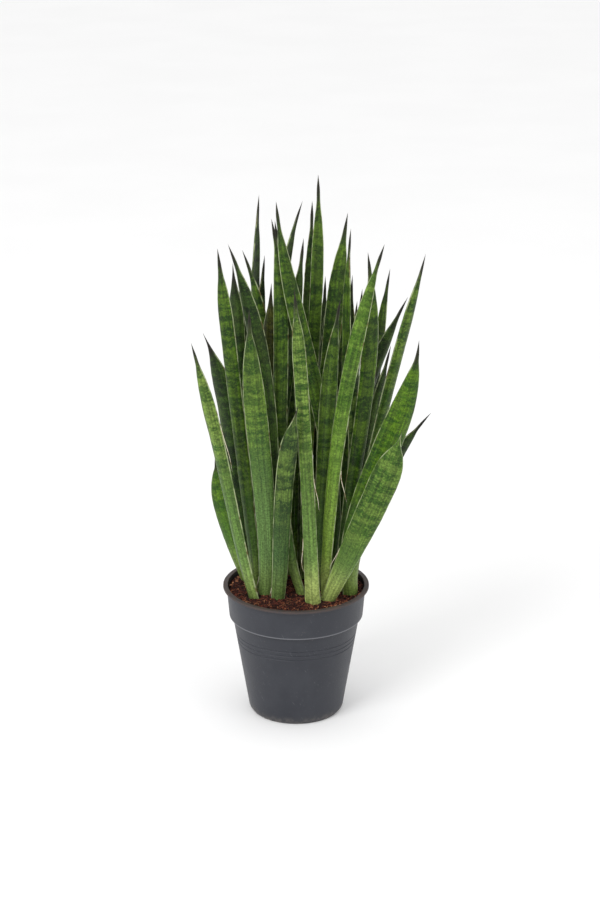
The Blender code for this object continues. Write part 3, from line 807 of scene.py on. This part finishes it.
    def build(self) -> bpy.types.Object:
        """Build the blade.

        Returns:
            The blade's object, with the attributes that its finish reads.
        """
        self.read_solid()
        total = self.arc[-1]
        level = np.interp(self.soil_level, self.stations[:-1, 2], self.arc[:-1])
        body = np.linspace(0.0, total - self.tip_zone, self.rows, endpoint=False)
        tip = total - self.tip_zone * (1 - np.linspace(0.0, 1.0, self.tip_rows, endpoint=False))
        at = np.concatenate([body, tip])
        angle = np.linspace(0.0, math.tau, self.columns, endpoint=False)
        points, out = self.surface(at, angle[None])
        half = np.abs(out[:, :1])
        place = np.broadcast_to(np.cos(angle), out.shape)
        side = np.broadcast_to(np.sin(angle), out.shape)
        height = np.broadcast_to((at - level)[:, None], out.shape)
        share = height / (total - level)
        grain = np.stack([out, height, np.full(out.shape, self.seed * 1.37)], -1).reshape(-1, 3)
        sheet = np.stack([place, share, side], -1).reshape(-1, 3)
        rims = np.stack([half * (1 - np.abs(place)), total - level - height, half + 0 * out], -1)
        rims = rims.reshape(-1, 3)
        apex, foot = self.stations[-1, :3], points[0].mean(0)
        points = np.vstack([points.reshape(-1, 3), apex, foot])
        count = out.size
        last = np.arange(count - self.columns, count)
        faces = [grid_faces(len(at), self.columns), fan_faces(count, last)]
        faces.append(fan_faces(count + 1, np.arange(self.columns)[::-1]))
        ends = {
            "grain": [[0.0, total - level, self.seed * 1.37], [0.0, -level, self.seed * 1.37]],
            "sheet": [[0.0, 1.0, 0.0], [0.0, 0.0, 0.0]],
            "rims": [[0.0, 0.0, 0.0], [half[0, 0], total, half[0, 0]]],
        }
        layers = {"grain": grain, "sheet": sheet, "rims": rims}
        layers = {name: np.vstack([values, ends[name]]) for name, values in layers.items()}
        return make_piece(self.node + "_blade", points, faced_outwards(points, faces), layers)


@dataclass
class Foliage:
    """All the leaves, rosette by rosette."""

    looks: dict[str, LeafLook]
    first_seed: int = 11
    seed_step: int = 7
    blades: dict[str, Blade] = field(default_factory=dict)

    def build(self) -> None:
        """Build and dress every leaf."""
        finishes = {look: look.value.build() for look in LeafLook}
        for index, (node, look) in enumerate(self.looks.items()):
            blade = Blade(node, self.first_seed + self.seed_step * index)
            piece = blade.build()
            dress(piece, finishes[look], look.value.slot, node)
            self.blades[node] = blade

    def root_lines(self) -> np.ndarray:
        """Give the three points of every leaf's line through the soil."""
        return np.array([blade.root_line() for blade in self.blades.values()])


@dataclass(frozen=True)
class Strand:
    """One fibre that has come away from a leaf's margin.

    It leaves the margin at start (share of the leaf's length), runs down or up
    for its length, and stands away by drift and curl.
    """

    node: str
    side: float
    start: float
    length: float
    drift: float
    curl: float
    down: bool = True


@dataclass
class MarginFibres:
    """The dry fibres that have split from the leaves' margins."""

    strands: tuple[Strand, ...]
    radius: float = 0.00034
    steps: int = 28
    sides: int = 6

    def build(self, foliage: Foliage) -> None:
        """Build the fibres as thin tapered tubes.

        A strand's middle line starts on the margin and goes along it, while a
        quadratic drift and a sine curl carry it outwards and forwards. The tube
        is a circle carried along the line, flattened a little.

        Args:
            foliage: The leaves that they hang from.
        """
        points, faces, count = [], [], 0
        angle = np.linspace(0.0, math.tau, self.sides, endpoint=False)
        for strand in self.strands:
            start, outward, upward = foliage.blades[strand.node].margin_point(strand.start, strand.side)
            share = np.linspace(0.0, 1.0, self.steps)[:, None]
            way = -upward if strand.down else upward
            front = np.array([0.0, -1.0, 0.0])
            line = start - 0.0001 * outward + share * strand.length * way
            line = line + strand.drift * share ** 2 * outward
            curling = np.sin(1.5 * math.pi * share ** 1.5)
            line = line + strand.curl * curling * share * (0.6 * outward + 0.8 * front)
            along = np.gradient(line, axis=0)
            along /= np.linalg.norm(along, axis=1)[:, None]
            first = np.cross(along, front)
            first /= np.linalg.norm(first, axis=1)[:, None]
            second = np.cross(along, first)
            thick = self.radius * (1.05 - share ** 3)
            ring = (np.cos(angle)[None, :, None] * first[:, None]
                    + 0.6 * np.sin(angle)[None, :, None] * second[:, None])
            tube = (line[:, None] + thick[..., None] * ring).reshape(-1, 3)
            tube = np.vstack([tube, line[0], line[-1]])
            size = self.steps * self.sides
            skin = [grid_faces(self.steps, self.sides),
                    fan_faces(size + 1, np.arange(size - self.sides, size)),
                    fan_faces(size, np.arange(self.sides)[::-1])]
            faces.extend(group + count for group in faced_outwards(tube, skin))
            points.append(tube)
            count += len(tube)
        piece = make_piece("margin_fibres", np.vstack(points), faces)
        finish = FibreFinish()
        dress(piece, finish.build(), finish.slot)


# ----------------------------------------------------------------------- pot
@dataclass
class NurseryPot:
    """The round tapered pot with its banded rim, grooves, foot and drain holes."""

    height: float = 0.156
    top_radius: float = 0.085
    foot_radius: float = 0.0527
    foot_width: float = 0.0042
    foot_height: float = 0.004
    foot_chamfer: float = 0.0028
    wall: float = 0.0015
    lip_overhang: float = 0.004
    lip_height: float = 0.0027
    band_height: float = 0.0375
    band_draft: float = 0.003
    band_step: float = 0.0037
    floor: float = 0.002
    pad_radius: float = 0.026
    pad_slope: float = 0.003
    groove_tops: tuple[float, ...] = (0.0885, 0.0940, 0.0995)
    groove_width: float = 0.0022
    groove_depth: float = 0.0008
    hole_count: int = 8
    hole_radius: float = 0.0045
    hole_circle: float = 0.036
    columns: int = 224
    fillet_steps: int = 5

    def band_radius(self, z: float) -> float:
        """Outer radius of the rim band at a height."""
        low, high = self.height - self.band_height, self.height - self.lip_height
        top = self.top_radius - self.lip_overhang
        return top - self.band_draft * (high - z) / (high - low)

    def body_radius(self, z: float) -> float:
        """Outer radius of the tapered body at a height."""
        low, high = self.foot_height, self.height - self.band_height
        base = self.foot_radius + self.foot_chamfer
        top = self.band_radius(high) - self.band_step
        return base + (top - base) * (z - low) / (high - low)

    def corners(self) -> np.ndarray:
        """List the profile's corners from under the floor, round the lip, to the floor's top.

        Returns:
            Radius, height and fillet radius for each corner.
        """
        band_z, lip_z = self.height - self.band_height, self.height - self.lip_height
        floor_z = self.foot_height + self.floor
        inner_foot = self.foot_radius - self.foot_width
        half = self.groove_width / 2
        grooves = []
        for middle in self.groove_tops:
            grooves.append((self.body_radius(middle - half), middle - half, 0.0003))
            grooves.append((self.body_radius(middle) - self.groove_depth, middle, 0.0005))
            grooves.append((self.body_radius(middle + half), middle + half, 0.0003))
        lip_inner = self.band_radius(lip_z) - self.wall
        step_z = band_z + self.wall
        body_top = self.body_radius(band_z)
        return np.array([
            (self.pad_radius, 0.0, 0.0006),
            (self.pad_radius + self.pad_slope, self.foot_height, 0.0008),
            (inner_foot, self.foot_height, 0.0006),
            (inner_foot, 0.0, 0.0004),
            (self.foot_radius, 0.0, 0.0006),
            (self.foot_radius + self.foot_chamfer, self.foot_height, 0.0012),
            *grooves,
            (body_top, band_z, 0.0010),
            (self.band_radius(band_z), band_z, 0.0009),
            (self.band_radius(lip_z), lip_z, 0.0007),
            (self.top_radius, lip_z, 0.0006),
            (self.top_radius, self.height, 0.0008),
            (lip_inner, self.height, 0.0007),
            (self.band_radius(step_z) - self.wall, step_z, 0.0007),
            (body_top - self.wall, step_z, 0.0007),
            (self.body_radius(floor_z) - self.wall, floor_z, 0.0010),
            (self.pad_radius + self.pad_slope, floor_z, 0.0008),
            (self.pad_radius, self.floor, 0.0008),
        ])

    def profile(self) -> np.ndarray:
        """Round the corners and add holding points beside them.

        Each corner becomes a quadratic curve between the points one fillet
        radius down its two sides, with one more point a little further out on
        each side, so that flats shade flat.

        Returns:
            Radius and height of each profile point.
        """
        table = self.corners()
        spots, radii = table[:, :2], table[:, 2:]
        before = np.vstack([[0.0, spots[0, 1]], spots[:-1]]) - spots
        after = np.vstack([spots[1:], [0.0, spots[-1, 1]]]) - spots
        span_before = np.linalg.norm(before, axis=1)[:, None]
        span_after = np.linalg.norm(after, axis=1)[:, None]
        reach_before = np.minimum(radii, 0.4 * span_before)
        reach_after = np.minimum(radii, 0.4 * span_after)
        start = spots + before / span_before * reach_before
        end = spots + after / span_after * reach_after
        share = np.linspace(0.0, 1.0, self.fillet_steps)[None, :, None]
        curve = ((1 - share) ** 2 * start[:, None] + 2 * share * (1 - share) * spots[:, None]
                 + share ** 2 * end[:, None])
        hold_before = spots + before / span_before * np.minimum(1.7 * reach_before, 0.48 * span_before)
        hold_after = spots + after / span_after * np.minimum(1.7 * reach_after, 0.48 * span_after)
        return np.concatenate([hold_before[:, None], curve, hold_after[:, None]], 1).reshape(-1, 2)

    def build(self) -> bpy.types.Object:
        """Turn the pot, drill its floor and dress it.

        Returns:
            The pot.
        """
        profile = self.profile()
        angle = np.linspace(0.0, math.tau, self.columns, endpoint=False)
        rings = np.stack([
            profile[:, :1] * np.cos(angle),
            profile[:, :1] * np.sin(angle),
            np.broadcast_to(profile[:, 1:], (len(profile), self.columns)),
        ], -1)
        count = len(profile) * self.columns
        points = np.vstack([rings.reshape(-1, 3), [0.0, 0.0, profile[0, 1]], [0.0, 0.0, profile[-1, 1]]])
        faces = [grid_faces(len(profile), self.columns), fan_faces(count, np.arange(self.columns)[::-1]),
                 fan_faces(count + 1, np.arange(count - self.columns, count))]
        pot = make_piece("nursery_pot", points, faced_outwards(points, faces))
        self.drill(pot)
        finish = PotFinish()
        dress(pot, finish.build(self.height, self.height - self.band_height), finish.slot, "pot")
        return pot

    def drill(self, pot: bpy.types.Object) -> None:
        """Cut the drain holes through the raised part of the floor.

        Args:
            pot: The turned pot, whose mesh is replaced by the drilled one.
        """
        angle = math.tau * (np.arange(self.hole_count) + 0.5) / self.hole_count
        around = np.linspace(0.0, math.tau, 32, endpoint=False)
        ring = self.hole_radius * np.stack([np.cos(around), np.sin(around)], -1)
        points, faces = [], []
        for index, place in enumerate(self.hole_circle * np.stack([np.cos(angle), np.sin(angle)], -1)):
            low = np.column_stack([ring + place, np.full(32, 0.001)])
            high = np.column_stack([ring + place, np.full(32, 0.009)])
            ends = [[*place, 0.001], [*place, 0.009]]
            pin = np.vstack([low, high, ends])
            skin = [grid_faces(2, 32), fan_faces(64, np.arange(32)[::-1]), fan_faces(65, np.arange(32, 64))]
            faces.extend(group + index * 66 for group in faced_outwards(pin, skin))
            points.append(pin)
        pins = make_piece("drill_pins", np.vstack(points), faces)
        cut = pot.modifiers.new("drain_holes", "BOOLEAN")
        cut.operation = "DIFFERENCE"
        cut.solver = "EXACT"
        cut.object = pins
        bpy.context.view_layer.update()
        drilled = bpy.data.meshes.new_from_object(pot.evaluated_get(bpy.context.evaluated_depsgraph_get()))
        pot.modifiers.clear()
        pot.data = drilled
        bpy.data.objects.remove(pins)
        drilled.set_sharp_from_angle(angle=math.radians(50))


# ---------------------------------------------------------------------- soil
ICOSAHEDRON = np.array([
    (0.0, 0.0, -1.0), (0.724, -0.526, -0.447), (-0.276, -0.851, -0.447), (-0.894, 0.0, -0.447),
    (-0.276, 0.851, -0.447), (0.724, 0.526, -0.447), (0.276, -0.851, 0.447), (-0.724, -0.526, 0.447),
    (-0.724, 0.526, 0.447), (0.276, 0.851, 0.447), (0.894, 0.0, 0.447), (0.0, 0.0, 1.0)])
ICOSAHEDRON_FACES = np.array([
    (0, 1, 2), (1, 0, 5), (0, 2, 3), (0, 3, 4), (0, 4, 5), (1, 5, 10), (2, 1, 6), (3, 2, 7), (4, 3, 8), (5, 4, 9),
    (1, 10, 6), (2, 6, 7), (3, 7, 8), (4, 8, 9), (5, 9, 10), (6, 10, 11), (7, 6, 11), (8, 7, 11), (9, 8, 11),
    (10, 9, 11)])


def random_turns(count: int, tilt: float, dice: np.random.Generator) -> np.ndarray:
    """Give rotation matrices: any turn about Z after a random tilt.

    Args:
        count: How many.
        tilt: Largest tilt in radians.
        dice: Source of chance.

    Returns:
        One matrix of three by three each.
    """
    turn = dice.uniform(0, math.tau, count)
    lean = dice.uniform(-tilt, tilt, count)
    roll = dice.uniform(-tilt, tilt, count)
    one, zero = np.ones(count), np.zeros(count)
    about_z = np.array([[np.cos(turn), -np.sin(turn), zero],
                        [np.sin(turn), np.cos(turn), zero], [zero, zero, one]])
    about_x = np.array([[one, zero, zero],
                        [zero, np.cos(lean), -np.sin(lean)], [zero, np.sin(lean), np.cos(lean)]])
    about_y = np.array([[np.cos(roll), zero, np.sin(roll)],
                        [zero, one, zero], [-np.sin(roll), zero, np.cos(roll)]])
    about_z, about_x, about_y = (np.moveaxis(matrix, -1, 0) for matrix in (about_z, about_x, about_y))
    return about_z @ about_x @ about_y


@dataclass
class PottingMix:
    """The bed of potting mix with its loose crumbs, chips and coir fibres."""

    pot: NurseryPot
    roots: np.ndarray
    edge_z: float = 0.151
    crown: float = 0.002
    clearance: float = 0.0006
    crumb_count: int = 8600
    chip_count: int = 1300
    fibre_count: int = 520
    fibre_lengths: tuple[float, float] = (0.004, 0.016)
    fibre_radii: tuple[float, float] = (0.00014, 0.00036)
    fibre_bow: float = 1.8
    fibre_rest: float = 0.0007
    heap_heights: tuple[float, float] = (0.0011, 0.0008)
    grit_heights: tuple[float, float] = (0.0006, 0.0003)
    heap_pitches: tuple[float, float] = (0.019, 0.007)
    grit_pitches: tuple[float, float] = (0.0026, 0.0011)
    settling: float = 0.0006
    seed: int = 42

    def radius(self, z: float) -> float:
        """Inner radius of the pot at a height, less the clearance."""
        return self.pot.band_radius(z) - self.pot.wall - self.clearance

    def level(self, x: np.ndarray, y: np.ndarray) -> np.ndarray:
        """Height of the bed: a low crown with hollows, heaps and grit on it.

        Args:
            x: Positions along X.
            y: Positions along Y.

        Returns:
            The bed's height at each.
        """
        out = np.hypot(x, y) / self.radius(self.edge_z)
        heap = (self.heap_heights[0] * rough_field(x, y, self.heap_pitches[0], 1)
                + self.heap_heights[1] * rough_field(x, y, self.heap_pitches[1], 2))
        grit = (self.grit_heights[0] * rough_field(x, y, self.grit_pitches[0], 3)
                + self.grit_heights[1] * rough_field(x, y, self.grit_pitches[1], 4))
        return self.edge_z - self.settling + self.crown * (1 - out ** 2) + heap + grit

    def clear_of_leaves(self, x: np.ndarray, y: np.ndarray, gap: np.ndarray) -> np.ndarray:
        """Tell which spots lie outside every leaf's foot.

        The distance to a foot is that to the nearer of its two half lines.

        Args:
            x: Positions along X.
            y: Positions along Y.
            gap: Distance to keep at each.

        Returns:
            True where a spot is clear.
        """
        spot = np.stack([x, y], -1)[:, None, None]
        start, end = self.roots[:, :2, :2][None], self.roots[:, 1:, :2][None]
        span = end - start
        share = np.clip(((spot - start) * span).sum(-1) / (span ** 2).sum(-1), 0, 1)
        away = np.linalg.norm(spot - start - share[..., None] * span, axis=-1)
        return away.min((1, 2)) > gap

    def spots(self, count: int, size: np.ndarray, dice: np.random.Generator,
              kept: float = 0.0024) -> tuple[np.ndarray, ...]:
        """Pick spots on the bed, evenly over its area and off the leaves.

        Args:
            count: How many to try.
            size: Size of what lies at each.
            dice: Source of chance.
            kept: Distance kept from the middle of a leaf's foot.

        Returns:
            X, Y and which of the tries are good.
        """
        reach = self.radius(self.edge_z) - size
        out, turn = reach * np.sqrt(dice.uniform(0, 1, count)), dice.uniform(0, math.tau, count)
        x, y = out * np.cos(turn), out * np.sin(turn)
        return x, y, self.clear_of_leaves(x, y, kept + 0.4 * size)

    def lumps(self, name: str, count: int, sizes: tuple[float, float], shape: Colour,
              tints: tuple[float, float], lift: float, tilt: float, dice: np.random.Generator) -> bpy.types.Object:
        """Strew rough lumps over the bed.

        Each lump is an icosahedron whose corners move in and out at random,
        squeezed to its own shape, turned and set on the bed.

        Args:
            name: The piece's name.
            count: How many to try.
            sizes: Smallest and largest radius.
            shape: Length, width and height, as shares of the radius.
            tints: Lowest and highest tint.
            lift: Height above the bed, as a share of the radius.
            tilt: Largest tilt.
            dice: Source of chance.

        Returns:
            The piece.
        """
        size = sizes[0] + (sizes[1] - sizes[0]) * dice.uniform(0, 1, count) ** 2.2
        x, y, good = self.spots(count, size, dice)
        stretch = np.array(shape) * dice.uniform(0.7, 1.3, (count, 3))
        rough = dice.uniform(0.68, 1.15, (count, 12, 1))
        local = ICOSAHEDRON[None] * rough * stretch[:, None] * size[:, None, None]
        turned = np.einsum("nij,nkj->nki", random_turns(count, tilt, dice), local)
        z = self.level(x, y) + lift * size * shape[2]
        spot = np.stack([x, y, z], -1)
        points = (turned + spot[:, None])[good]
        tint = dice.uniform(*tints, count)[good]
        faces = (ICOSAHEDRON_FACES[None] + 12 * np.arange(len(points))[:, None, None]).reshape(-1, 3)
        layers = {"tint": np.repeat(tint, 12)}
        return make_piece(name, points.reshape(-1, 3), [faces], layers, smooth=False)

    def coir(self, dice: np.random.Generator) -> bpy.types.Object:
        """Strew short bent fibres over the bed.

        Each is a three-sided tapered tube along an arc of a circle that lies on
        the bed, with its middle raised a little.

        Args:
            dice: Source of chance.

        Returns:
            The piece.
        """
        count, steps, sides = self.fibre_count, 8, 3
        length = dice.uniform(*self.fibre_lengths, count)
        x, y, good = self.spots(count, 0.55 * length, dice, 0.0028)
        turn = dice.uniform(0, math.tau, count)
        bow = dice.uniform(-self.fibre_bow, self.fibre_bow, count)
        share = np.linspace(-0.5, 0.5, steps)
        heading = turn[:, None] + bow[:, None] * share
        run = np.cumsum(np.stack([np.cos(heading), np.sin(heading)], -1), 1) * (length / steps)[:, None, None]
        run -= run.mean(1, keepdims=True)
        path = np.stack([x, y], -1)[:, None] + run
        raised = dice.uniform(0.0004, 0.0020, count)[:, None] * (1 - (2 * share) ** 2)
        z = self.level(path[..., 0], path[..., 1]) + self.fibre_rest + raised
        thick = dice.uniform(*self.fibre_radii, count)[:, None] * (1.1 - np.abs(2 * share) ** 3)
        angle = np.linspace(0, math.tau, sides, endpoint=False)
        aside = np.stack([-np.sin(heading), np.cos(heading)], -1)
        flat = path[:, :, None] + (thick[..., None] * np.cos(angle))[..., None] * aside[:, :, None]
        upright = z[..., None] + thick[..., None] * np.sin(angle)
        points = np.concatenate([flat, upright[..., None]], -1)[good].reshape(-1, steps * sides, 3)
        ends = [np.arange(sides)[::-1][None], np.arange((steps - 1) * sides, steps * sides)[None]]
        offset = steps * sides * np.arange(len(points))[:, None, None]
        faces = [(group[None] + offset).reshape(-1, group.shape[1])
                 for group in (grid_faces(steps, sides), *ends)]
        tint = np.repeat(dice.uniform(0.55, 1.0, count)[good], steps * sides)
        return make_piece("coir_fibres", points.reshape(-1, 3), faces, {"tint": tint})

    def bed(self) -> bpy.types.Object:
        """Build the plug of mix, with its rough top.

        The top is a grid of rings from the middle out, and the side and
        underside follow the inside of the pot.

        Returns:
            The piece.
        """
        rings, columns = 64, 256
        angle = np.linspace(0, math.tau, columns, endpoint=False)
        out = self.radius(self.edge_z) * np.linspace(0.0, 1.0, rings + 1)[1:, None]
        x, y = out * np.cos(angle), out * np.sin(angle)
        top = np.stack([x, y, self.level(x, y)], -1)
        pot = self.pot
        band_z, floor_z = pot.height - pot.band_height + pot.wall, pot.foot_height + pot.floor
        gap = self.clearance
        side = np.array([
            (self.radius(band_z + gap), band_z + gap),
            (pot.body_radius(band_z) - pot.wall - gap, band_z + gap),
            (pot.body_radius(floor_z) - pot.wall - gap, floor_z + gap),
            (pot.pad_radius + pot.pad_slope - gap, floor_z + gap),
            (pot.pad_radius - gap, pot.floor + gap),
        ])
        walls = np.stack([
            side[:, :1] * np.cos(angle), side[:, :1] * np.sin(angle),
            np.broadcast_to(side[:, 1:], (len(side), columns))], -1)
        points = np.concatenate([top, walls]).reshape(-1, 3)
        count = len(points)
        middle = [[0.0, 0.0, float(self.level(np.zeros(1), np.zeros(1))[0])], [0.0, 0.0, pot.floor + gap]]
        points = np.vstack([points, middle])
        faces = [grid_faces(rings + len(side), columns), fan_faces(count, np.arange(columns)[::-1]),
                 fan_faces(count + 1, np.arange(count - columns, count))]
        tint = 0.16 + 0.14 * rough_field(points[:, 0], points[:, 1], 0.004, 9)
        return make_piece("potting_mix_bed", points, faced_outwards(points, faces), {"tint": tint})

    def build(self) -> None:
        """Build and dress the bed and everything loose on it."""
        dice = np.random.default_rng(self.seed)
        shades = (srgb(20, 10, 9), srgb(54, 25, 20), srgb(90, 43, 31), srgb(138, 78, 52), srgb(186, 134, 98))
        mix = MixFinish("reddish_potting_mix", shades)
        material = mix.build()
        dress(self.bed(), material, mix.slot, "soil")
        crumbs = self.lumps("mix_crumbs", self.crumb_count, (0.0005, 0.0019), (1.0, 0.9, 0.75), (0.02, 0.50),
                            0.35, 1.5, dice)
        dress(crumbs, material, mix.slot)
        chips = self.lumps("bark_chips", self.chip_count, (0.0008, 0.0026), (1.5, 0.7, 0.3), (0.30, 0.92),
                           0.9, 0.5, dice)
        dress(chips, material, mix.slot)
        dress(self.coir(dice), material, mix.slot)


# -------------------------------------------------------------------- studio
@dataclass
class Studio:
    """A plain pale floor, soft lights and the camera."""

    camera_place: tuple[float, float, float] = (0.0046, -2.30, 1.13)
    pitch_down: float = 19.39
    lens: float = 85.5
    floor_half: float = 30.0

    def floor(self) -> None:
        """Lay the floor."""
        half = self.floor_half
        corners = np.array([(-half, -half, 0.0), (half, -half, 0.0), (half, half, 0.0), (-half, half, 0.0)])
        floor = make_piece("studio_floor", corners, [np.array([[0, 1, 2, 3]])], smooth=False)
        floor.data.materials.append(FloorFinish().build())

    def lamp(self, name: str, place: Colour, aim: Colour, size: float, power: float) -> None:
        """Hang a square soft light.

        Args:
            name: Its name.
            place: Where it hangs.
            aim: What it points at.
            size: Side of its square.
            power: Its power in watts.
        """
        light = bpy.data.lights.new(name, "AREA")
        light.shape = "SQUARE"
        light.size = size
        light.energy = power
        lamp = bpy.data.objects.new(name, light)
        bpy.context.scene.collection.objects.link(lamp)
        lamp.location = place
        direction = np.array(aim) - np.array(place)
        flat = math.hypot(direction[0], direction[1])
        heading = math.atan2(direction[1], direction[0]) - math.pi / 2
        lamp.rotation_euler = (math.atan2(flat, -direction[2]), 0.0, heading)

    def sky(self, strength: float) -> None:
        """Fill the room with even white light."""
        world = bpy.data.worlds.new("soft_studio")
        world.use_nodes = True
        background = world.node_tree.nodes["Background"]
        background.inputs["Color"].default_value = (1.0, 1.0, 1.0, 1.0)
        background.inputs["Strength"].default_value = strength
        bpy.context.scene.world = world

    def camera(self) -> None:
        """Place the camera."""
        lens = bpy.data.cameras.new("studio_camera")
        lens.sensor_fit = "VERTICAL"
        lens.sensor_height = 36.0
        lens.lens = self.lens
        lens.clip_end = 200.0
        camera = bpy.data.objects.new("studio_camera", lens)
        bpy.context.scene.collection.objects.link(camera)
        camera.location = self.camera_place
        camera.rotation_euler = (math.radians(90 - self.pitch_down), 0.0, 0.0)
        bpy.context.scene.camera = camera

    def build(self) -> None:
        """Set up the whole studio."""
        self.floor()
        self.sky(1.04)
        middle = (0.0, 0.0, 0.3)
        self.lamp("key_light", (-1.5, -1.9, 2.3), middle, 1.3, 40.0)
        self.lamp("fill_light", (1.9, -1.4, 1.6), middle, 1.4, 6.0)
        self.camera()
        bpy.context.scene.view_settings.view_transform = "Standard"


# The leaves inside and behind the bunch take the very dark look, whose colour partly carries painted shade.
LEAF_LOOKS = {
    "front_leaf_1": LeafLook.YOUNG, "front_leaf_2": LeafLook.FRESH, "front_leaf_3": LeafLook.CROSSED,
    "front_leaf_4": LeafLook.MIDDLE, "front_leaf_5": LeafLook.MIDDLE, "front_leaf_6": LeafLook.MIDDLE,
    "front_leaf_7": LeafLook.MIDDLE,
    "left_leaf_1": LeafLook.GREY, "left_leaf_2": LeafLook.STRIPED, "left_leaf_3": LeafLook.PALE,
    "left_leaf_4": LeafLook.MIDDLE, "left_leaf_5": LeafLook.DARK_WITH_PAINTED_SHADE, "left_leaf_6": LeafLook.DARK_WITH_PAINTED_SHADE,
    "left_leaf_7": LeafLook.DARK_WITH_PAINTED_SHADE,
    "back_left_leaf_1": LeafLook.VIVID, "back_left_leaf_2": LeafLook.DARK_WITH_PAINTED_SHADE, "back_left_leaf_3": LeafLook.MIDDLE,
    "back_left_leaf_4": LeafLook.OLIVE, "back_left_leaf_5": LeafLook.DARK_WITH_PAINTED_SHADE, "back_left_leaf_6": LeafLook.DARK_WITH_PAINTED_SHADE,
    "back_left_leaf_7": LeafLook.DARK_WITH_PAINTED_SHADE,
    "back_leaf_1": LeafLook.MIDDLE, "back_leaf_2": LeafLook.DARK_WITH_PAINTED_SHADE, "back_leaf_3": LeafLook.MIDDLE,
    "back_leaf_4": LeafLook.DARK_WITH_PAINTED_SHADE, "back_leaf_5": LeafLook.DARK_WITH_PAINTED_SHADE, "back_leaf_6": LeafLook.MIDDLE,
    "back_leaf_7": LeafLook.DARK_WITH_PAINTED_SHADE, "back_leaf_8": LeafLook.VIVID,
    "right_leaf_1": LeafLook.MIDDLE, "right_leaf_2": LeafLook.MIDDLE, "right_leaf_3": LeafLook.STRIPED,
    "right_leaf_4": LeafLook.DARK_WITH_PAINTED_SHADE, "right_leaf_5": LeafLook.MIDDLE, "right_leaf_6": LeafLook.MIDDLE,
    "right_leaf_7": LeafLook.DARK_WITH_PAINTED_SHADE, "right_leaf_8": LeafLook.GREY, "right_leaf_9": LeafLook.VIVID,
    "right_leaf_10": LeafLook.DARK_WITH_PAINTED_SHADE, "right_leaf_11": LeafLook.MIDDLE, "right_leaf_12": LeafLook.DARK_WITH_PAINTED_SHADE,
}

STRANDS = (
    Strand("left_leaf_3", 1.0, 0.68, 0.062, 0.004, 0.004),
    Strand("left_leaf_1", -1.0, 0.06, 0.020, 0.004, 0.003),
    Strand("left_leaf_2", -1.0, 0.05, 0.014, 0.002, 0.002),
    Strand("left_leaf_7", 1.0, 0.55, 0.040, 0.004, 0.003),
    Strand("front_leaf_1", -1.0, 0.21, 0.050, 0.002, 0.006),
    Strand("front_leaf_1", 1.0, 0.40, 0.040, 0.006, 0.003),
    Strand("front_leaf_2", 1.0, 0.37, 0.038, 0.015, 0.004),
    Strand("front_leaf_3", -1.0, 0.28, 0.030, 0.004, 0.002),
    Strand("right_leaf_9", 1.0, 0.34, 0.034, 0.006, 0.003),
    Strand("back_leaf_4", 1.0, 0.40, 0.044, 0.008, 0.004),
)


def main() -> None:
    """Build the plant, its pot and the studio."""
    logging.basicConfig(level=logging.INFO, format="%(message)s")
    Studio().build()
    pot = NurseryPot()
    pot.build()
    foliage = Foliage(LEAF_LOOKS)
    foliage.build()
    PottingMix(pot, foliage.root_lines()).build()
    MarginFibres(STRANDS).build(foliage)


if __name__ == "__main__":
    main()
